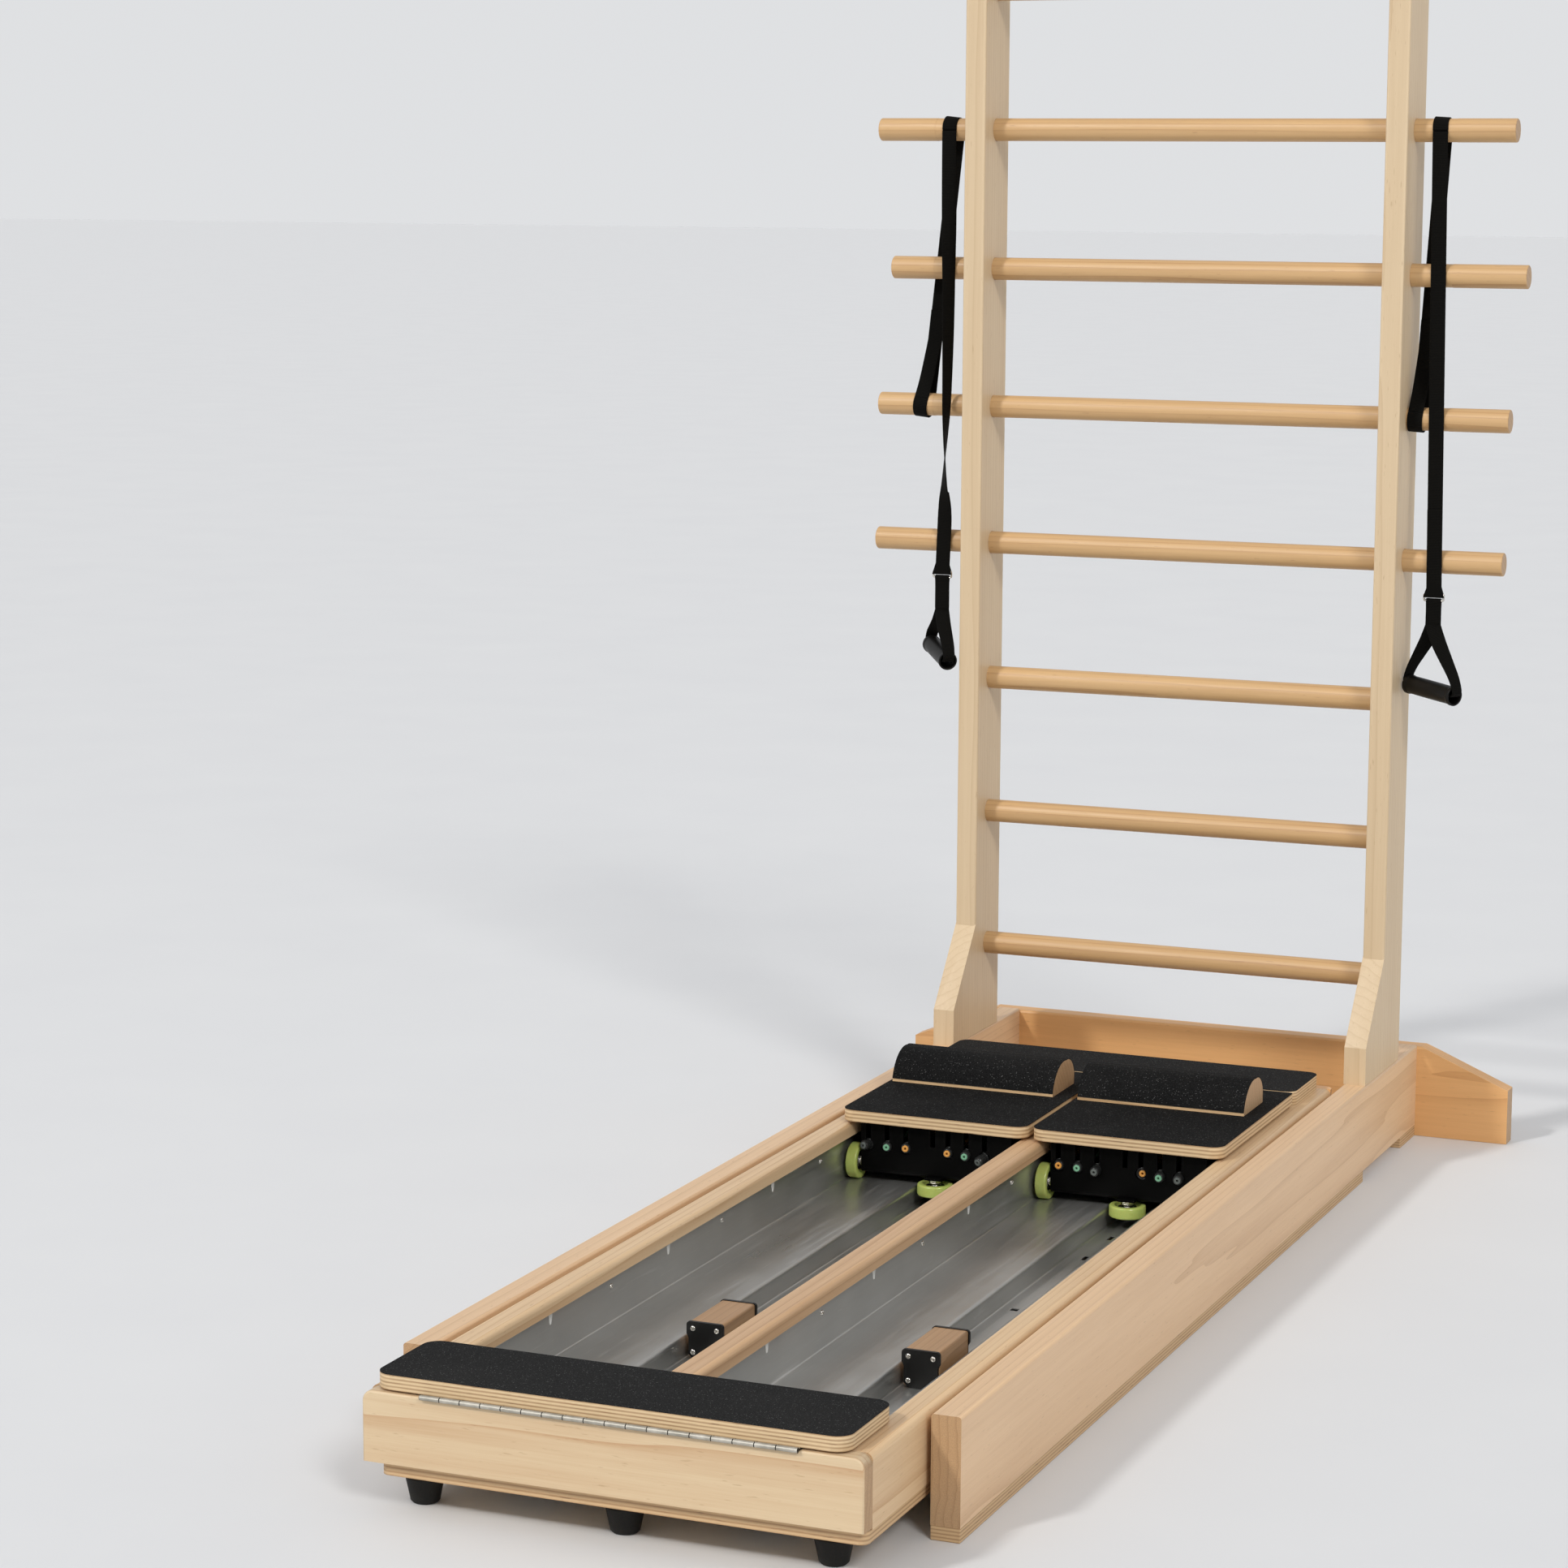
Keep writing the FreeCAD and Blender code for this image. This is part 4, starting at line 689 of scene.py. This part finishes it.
# Per tube: colour, how far its end stands out of the plate, and how far it leans sideways and up.
ENDS = {
    "left": (("black", 9.0, -6.0, 0.5), ("green", 4.0, 0.0, 0.0), ("orange", 5.0, 1.0, 1.5),
             ("orange", 5.0, 0.0, 0.5), ("green", 9.0, 0.0, -0.5), ("black", 10.0, -8.0, -7.5)),
    "right": (("orange", 7.0, 2.5, 1.5), ("green", 6.0, 0.5, 0.0), ("black", 12.0, -1.0, -2.0),
              ("orange", -4.0, 1.5, 0.0), ("green", 10.0, 1.0, -1.0), ("black", 11.0, 1.0, -1.5)),
}
TUBE_Z = 123.0
PLATE_Y = -722.0
ANCHOR_Y = -224.0
PLUG_DEPTH = 16.0
TUBE_BORE, TUBE_R = 0.0022, 0.0047
END_BORE, END_R = 0.0018, 0.0052
SLEEVE_BORE, SLEEVE_R, SLEEVE_NOSE_R = 0.0054, 0.0080, 0.0066
SLEEVE_SHORT = 0.0014
COLLAR_BORE, COLLAR_R, COLLAR_H = 0.0076, 0.0095, 0.0035
COLLAR_AT = 0.0075
for hand, lane in LANES:
    body = "cart_" + hand
    plugs = bmesh.new()
    ends = {"black": bmesh.new(), "green": bmesh.new(), "orange": bmesh.new()}
    runs = {"black": bmesh.new(), "green": bmesh.new(), "orange": bmesh.new()}
    for x, (tone, out, lean, rise) in zip(KEYHOLES, ENDS[hand]):
        tip = at(lane + x + lean, PLATE_Y - out, TUBE_Z + rise)
        root = at(lane + x, PLATE_Y + PLUG_DEPTH, TUBE_Z)
        aim = (tip - root).normalized()
        reach = (tip - root).length
        nose = reach - SLEEVE_SHORT
        sleeve = rounded_profile([(SLEEVE_BORE, 0.0), (SLEEVE_R, 0.0), (SLEEVE_R, reach - 0.0045, 0.0014),
                                  (SLEEVE_NOSE_R, nose, 0.0008), (SLEEVE_BORE, nose, 0.0004)], 0.0006, 3)
        revolved(plugs, sleeve, root, aim, 32)
        collar = rounded_profile([(COLLAR_BORE, 0.0), (COLLAR_R, 0.0), (COLLAR_R, COLLAR_H),
                                  (COLLAR_BORE, COLLAR_H)], 0.0008, 3)
        revolved(plugs, collar, root + aim * COLLAR_AT, aim, 32)
        ring = rounded_profile([(END_BORE, 0.0), (END_R, 0.0), (END_R, reach, 0.0009),
                                (END_BORE, reach, 0.0005)], 0.0003, 3)
        revolved(ends[tone], ring, root, aim, 28)
        far = at(lane + x, ANCHOR_Y, TUBE_Z)
        near = at(lane + x, PLATE_Y + 17, TUBE_Z)
        length = (far - near).length
        pipe = [(TUBE_BORE, 0.0), (TUBE_R, 0.0), (TUBE_R, length), (TUBE_BORE, length)]
        revolved(runs[tone], pipe, near, Y, 20)
    smooth(piece("cart_%s_plugs" % hand, plugs, PLUG, body, "plug_plastic", "cart_%s_tube_plugs" % hand))
    for tone in ends:
        smooth(piece("cart_%s_tube_ends_%s" % (hand, tone), ends[tone], TUBES[tone], body, "tube_rubber"))
        run = piece("cart_%s_tubes_%s" % (hand, tone), runs[tone], TUBES[tone], None, "tube_rubber",
                    "cart_%s_tubes" % hand)
        smooth(run)
        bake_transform(run)


# ---- hanging straps -----------------------------------------------------------------------
RUNG_R = 19.0
TOP_Z, LOOP_Z = 1689.0, 1229.0
TOP_X = (-415.0, 416.0)
LOOP_X = (-464.0, 389.5)
LEG_TOP_X = (-416.0, 418.0)
LEG_LOW_X = (-420.0, 430.0)
LEG_Y = -20.4
WEB_T = 0.0020
WEB_W = 0.025
RING_Z = 938.0
FORK_Z = (876.0, 893.0)
GRIP_AT = ((-423.5, 809.0), (431.0, 792.0))
GRIP_TURN = (54.0, 34.0)
GRIP_TILT = (9.0, 4.5)
GRIP_HALF = 0.055
SLING_OUT, SLING_IN, SLING_MID = 0.0585, 0.049, 0.030
SLING_W = 0.0200
WRAP_GAP, LINING_GAP = 1.4, 0.2
LINING_T = 0.0002
LEG_BOW = 8.0
EDGE_OUT, TURN_OUT = 12.3, 2.1
DOUBLED_TOP, DOUBLED_OUT = 1.088, 0.0021
RING_HALF, RING_LOW, RING_HIGH, RING_CORNER = 14.0, 2.0, 8.0, 2.0
RING_WIRE_R = 0.00175
BAR_WRAP = 2.9
LAYER_Y = 1.15
LEG_Z = (1687.0, 1660, 1600, 1530, 1480, 1459, 1420, 1360, 1300, 1260, 1229, 1200, 1165, 1140, 1120,
         1105, 1092, 1078, 1060, 1042, 1025, 999, 975, 957)
# Left leg: how far the webbing has turned about its own line, in degrees, at each height.
TURNS = ((1689, 0), (1560, 25), (1459, 48), (1335, 62), (1229, 77), (1180, 92), (1143, 110), (1110, 124),
         (1088, 136), (1060, 164), (1035, 180), (900, 180))


def lean(side, z):
    """Middle of the run between the third rung and the first, at a height."""
    share = (z - LOOP_Z) / (TOP_Z - LOOP_Z)
    return LOOP_X[side] + (TOP_X[side] - LOOP_X[side]) * share


def anchor(side):
    """Loop round the third rung, sewn, then the run behind the second rung and over the first."""
    mid = RUNG_R + WRAP_GAP
    inner = RUNG_R + LINING_GAP
    keys = []
    for degrees in range(-150, 1, 15):
        a = math.radians(degrees)
        z = LOOP_Z + mid * math.sin(a)
        keys.append(at(lean(side, z), mid * math.cos(a), z))
    for z in (LOOP_Z + 40, LOOP_Z + 90, LOOP_Z + 112, LOOP_Z + 157, 1420, 1459, 1500, 1580, 1650):
        keys.append(at(lean(side, z), mid, z))
    for degrees in range(0, 181, 15):
        a = math.radians(degrees)
        z = TOP_Z + mid * math.sin(a)
        x = lean(side, TOP_Z) + (LEG_TOP_X[side] - TOP_X[side]) * degrees / 180
        keys.append(at(x, mid * math.cos(a), z))
    path = curve_through(keys, 2)
    bm = bmesh.new()
    under = [math.radians(degrees) for degrees in range(165, 200, 5)]
    lining = [at(LEG_TOP_X[side], inner * math.cos(a), TOP_Z + inner * math.sin(a)) for a in under]
    ribbon(bm, lining, [X] * len(lining), [WEB_W] * len(lining), LINING_T)
    slope = math.atan2(TOP_X[side] - LOOP_X[side], TOP_Z - LOOP_Z)
    across = X * math.cos(slope) - Z * math.sin(slope)
    ribbon(bm, path, [across] * len(path), [WEB_W] * len(path), WEB_T)
    front = []
    for degrees in range(-150, -221, -10):
        a = math.radians(degrees)
        z = LOOP_Z + mid * math.sin(a)
        front.append(at(lean(side, z), mid * math.cos(a), z))
    for z, y in ((LOOP_Z + 40, -2.5), (LOOP_Z + 75, 9.0), (LOOP_Z + 104, 17.2), (LOOP_Z + 114, 18.1),
                 (LOOP_Z + 135, 18.3), (LOOP_Z + 158, 18.3)):
        front.append(at(lean(side, z), y, z))
    path = curve_through(front, 3)
    ribbon(bm, path, [across] * len(path), [WEB_W] * len(path), WEB_T)
    return bm


def leg_turn(z):
    """Turn of the left leg at a height, in radians."""
    for (high, a), (low, b) in zip(TURNS, TURNS[1:]):
        if z >= low:
            return math.radians(a + (b - a) * (high - z) / (high - low))
    return math.pi


def leg_x(side, z):
    """Middle of the free leg at a height; the left one bows a little to the side."""
    share = (z - RING_Z) / (TOP_Z - RING_Z)
    bow = 0.0 if side else LEG_BOW * math.sin(math.pi * share)
    return LEG_LOW_X[side] + (LEG_TOP_X[side] - LEG_LOW_X[side]) * share + bow


def hanging_leg(side, hand):
    """Webbing from the first rung to the ring, doubled above the ring; the left one turns half round."""
    keys, turns = [], []
    for z in LEG_Z:
        turn = 0.0 if side else leg_turn(z)
        y = LEG_Y - EDGE_OUT * math.sin(turn) - TURN_OUT * turn / math.pi
        keys.append(at(leg_x(side, z), y, z))
        turns.append(turn)
    path = curve_through(keys, 4)
    marks = curve_through([Vector((t, 0, 0)) for t in turns], 4)
    sides = [X * math.cos(m.x) + Y * math.sin(m.x) for m in marks]
    bm = bmesh.new()
    ribbon(bm, path, sides, [WEB_W] * len(path), WEB_T)
    doubled = [(point, m.x) for point, m in zip(path, marks) if point.z < DOUBLED_TOP]
    ribbon(bm, [point + Vector((math.sin(t), -math.cos(t), 0)) * DOUBLED_OUT for point, t in doubled],
           [X * math.cos(t) + Y * math.sin(t) for _, t in doubled], [WEB_W - 0.0004] * len(doubled), WEB_T)
    return piece("strap_%s_leg_web" % hand, bm, WEB, "strap_" + hand, "webbing", "strap_%s_leg" % hand), path


def keeper_patch(side, hand):
    """Stitched patch of webbing that closes the loop above the ring."""
    bm = bmesh.new()
    outline = [(-17.2, 4.8), (17.2, 4.8), (16.0, 9.0), (10.0, 27.0), (-10.0, 27.0), (-16.0, 9.0)]
    outline = [(a * MM, b * MM) for a, b in outline]
    prism(bm, outline, at(LEG_LOW_X[side], LEG_Y - 3.6, RING_Z), X, Z, Y * 0.0062, 0.0011, 3)
    return piece("strap_%s_keeper" % hand, bm, WEB, "strap_" + hand, "webbing")


def ring_wire(side, hand):
    """Rectangular wire ring with rounded corners."""
    corner = []
    for cx, cz, first in ((RING_HALF, RING_LOW, -90), (RING_HALF, RING_HIGH, 0),
                          (-RING_HALF, RING_HIGH, 90), (-RING_HALF, RING_LOW, 180)):
        for k in range(5):
            a = math.radians(first + 90 * k / 4)
            corner.append(at(LEG_LOW_X[side] + cx + RING_CORNER * math.cos(a), LEG_Y,
                             RING_Z + cz + RING_CORNER * math.sin(a)))
    bm = bmesh.new()
    wire(bm, corner, RING_WIRE_R, closed=True)
    return piece("strap_%s_ring_wire" % hand, bm, STEEL, "strap_" + hand, "bright_steel",
                 "strap_%s_ring" % hand)


def grip_line(side):
    """Middle of the grip and the direction of its axis."""
    turn, tilt = math.radians(GRIP_TURN[side]), math.radians(GRIP_TILT[side])
    grip_dir = Vector((math.cos(tilt) * math.cos(turn), -math.cos(tilt) * math.sin(turn), -math.sin(tilt)))
    return at(GRIP_AT[side][0], LEG_Y, GRIP_AT[side][1]), grip_dir


def sling(side, hand):
    """Webbing round the ring's lower bar, down as two layers, and out to the ends of the grip."""
    centre, grip_dir = grip_line(side)
    turn = math.radians(GRIP_TURN[side])
    flat = Vector((math.sin(turn), math.cos(turn), 0))
    up = flat.cross(grip_dir).normalized()
    if up.z < 0:
        up = -up
    middle = LEG_LOW_X[side]
    fork = FORK_Z[side]
    layers = (925, (925 + fork + 11) / 2, fork + 11)
    apex = at(middle, LEG_Y, fork - 2)
    keys, wide, size = [], [], []

    def knot(point, across, width):
        keys.append(point)
        wide.append(across)
        size.append(width)

    def spread(end, shares):
        for share in shares:
            knot(apex.lerp(end + up * 0.017, share), X * (1 - share) + flat * share, WEB_W - 0.004 * share)

    for degrees in (90, 45, 0, -20):
        a = math.radians(degrees)
        knot(at(middle, LEG_Y - BAR_WRAP * math.cos(a), RING_Z + BAR_WRAP * math.sin(a)), X, WEB_W)
    for z in layers:
        knot(at(middle, LEG_Y - LAYER_Y, z), X, WEB_W)
    knot(at(middle + 1.0, LEG_Y - LAYER_Y, fork + 2), X * 0.97 + flat * 0.03, WEB_W)
    end = centre + grip_dir * SLING_OUT
    spread(end, (0.25, 0.55, 0.85))
    knot(end + up * 0.0095 + grip_dir * 0.0002, flat, 0.0205)
    knot(end + up * 0.0015 - grip_dir * 0.0022, flat, SLING_W)
    knot(centre + grip_dir * SLING_IN - up * 0.0005, flat, SLING_W)
    knot(centre + grip_dir * SLING_MID, flat, SLING_W)
    knot(centre - grip_dir * SLING_MID, flat, SLING_W)
    knot(centre - grip_dir * SLING_IN - up * 0.0005, flat, SLING_W)
    end = centre - grip_dir * SLING_OUT
    knot(end + up * 0.0015 + grip_dir * 0.0022, flat, SLING_W)
    knot(end + up * 0.0095 - grip_dir * 0.0002, flat, 0.0205)
    spread(end, (0.85, 0.55, 0.25))
    knot(at(middle - 1.0, LEG_Y + LAYER_Y, fork + 2), X * 0.97 + flat * 0.03, WEB_W)
    for z in layers[::-1]:
        knot(at(middle, LEG_Y + LAYER_Y, z), X, WEB_W)
    for degrees in (-20, 0, 45):
        a = math.radians(degrees)
        knot(at(middle, LEG_Y + BAR_WRAP * math.cos(a), RING_Z + BAR_WRAP * math.sin(a)), X, WEB_W)
    knot(keys[0], wide[0], size[0])
    path = curve_through(keys, 4)[:-1]
    sides = curve_through(wide, 4)[:-1]
    widths = [v.x for v in curve_through([Vector((w, 0, 0)) for w in size], 4)][:-1]
    bm = bmesh.new()
    ribbon(bm, path, sides, widths, WEB_T, closed=True)
    piece("strap_%s_sling_web" % hand, bm, WEB, "sling_" + hand, "webbing", "strap_%s_sling" % hand)


def grip_tube(side, hand):
    """Hard tube with a flared, rounded rim at each end."""
    h = GRIP_HALF
    profile = rounded_profile([
        (0.0125, -h + 0.004), (0.0133, -h, 0.0010), (0.0160, -h, 0.0016), (0.0160, -h + 0.006, 0.0014),
        (0.0148, -h + 0.008, 0.0012), (0.0150, -0.02), (0.0150, 0.02), (0.0148, h - 0.008, 0.0012),
        (0.0160, h - 0.006, 0.0014), (0.0160, h, 0.0016), (0.0133, h, 0.0010),
        (0.0125, h - 0.004)], 0.0006, 4)
    centre, grip_dir = grip_line(side)
    bm = bmesh.new()
    revolved(bm, profile, centre, grip_dir, 64)
    smooth(piece("strap_%s_grip_tube" % hand, bm, GRIP_PLASTIC, "handle_" + hand, "grip_plastic",
                 "strap_%s_grip" % hand), 0.9)


for side, hand in enumerate(("left", "right")):
    stands_for = ["strap_anchors"] if side == 0 else []
    piece("strap_%s_anchor" % hand, anchor(side), WEB, "root", "webbing", *stands_for)
    leg, path = hanging_leg(side, hand)
    keeper = keeper_patch(side, hand)
    ring = ring_wire(side, hand)
    length = sum((b - a).length for a, b in zip(path, path[1:]))
    sling(side, hand)
    grip_tube(side, hand)


# ---- floor and light ----------------------------------------------------------------------
bpy.ops.mesh.primitive_plane_add(size=160.0, location=(0, 0, -0.0002))
floor = bpy.context.object
floor.name = "floor"
ground = Paint("studio_floor")
dust = ground.noise(ground.coords(), 3.0, 3.0)
ground.colour(ground.mix(dust, rgb(219, 220, 222), rgb(224, 225, 226)))
ground.rough(0.75)
floor.data.materials.append(ground.material)

world = bpy.data.worlds.new("studio")
bpy.context.scene.world = world
world.use_nodes = True
tree = world.node_tree
height = tree.nodes.new("ShaderNodeSeparateXYZ")
tree.links.new(tree.nodes.new("ShaderNodeTexCoord").outputs["Generated"], height.inputs[0])
sky = tree.nodes.new("ShaderNodeValToRGB")
tree.links.new(height.outputs[2], sky.inputs[0])
sky.color_ramp.elements[0].position = 0.06
sky.color_ramp.elements[0].color = (0.74, 0.75, 0.765, 1)
sky.color_ramp.elements[1].position = 0.55
sky.color_ramp.elements[1].color = (0.50, 0.51, 0.53, 1)
tree.links.new(sky.outputs[0], tree.nodes["Background"].inputs[0])


def lamp(name, kind, energy, place, target, size, tone):
    """A sun of an angular size, or a square area lamp, aimed at a target."""
    data = bpy.data.lights.new(name, kind)
    data.energy = energy
    data.color = tone
    if kind == "SUN":
        data.angle = size
    else:
        data.shape = "RECTANGLE"
        data.size = size
        data.size_y = size
    obj = bpy.data.objects.new(name, data)
    obj.location = place
    aim = Vector(target) - Vector(place)
    obj.rotation_euler = aim.to_track_quat("-Z", "Y").to_euler()
    bpy.context.scene.collection.objects.link(obj)


lamp("key", "SUN", 1.28, (-2.3, -4.2, 4.4), (0, 0, 0.6), math.radians(6), (1.0, 0.98, 0.95))
lamp("second", "SUN", 1.10, (3.4, -3.4, 4.2), (0, 0, 0.6), math.radians(14), (1.0, 0.98, 0.95))
lamp("softbox", "AREA", 12.0, (-2.5, -2.5, 4.2), (0, -0.3, 0.3), 2.6, (0.97, 0.985, 1.0))
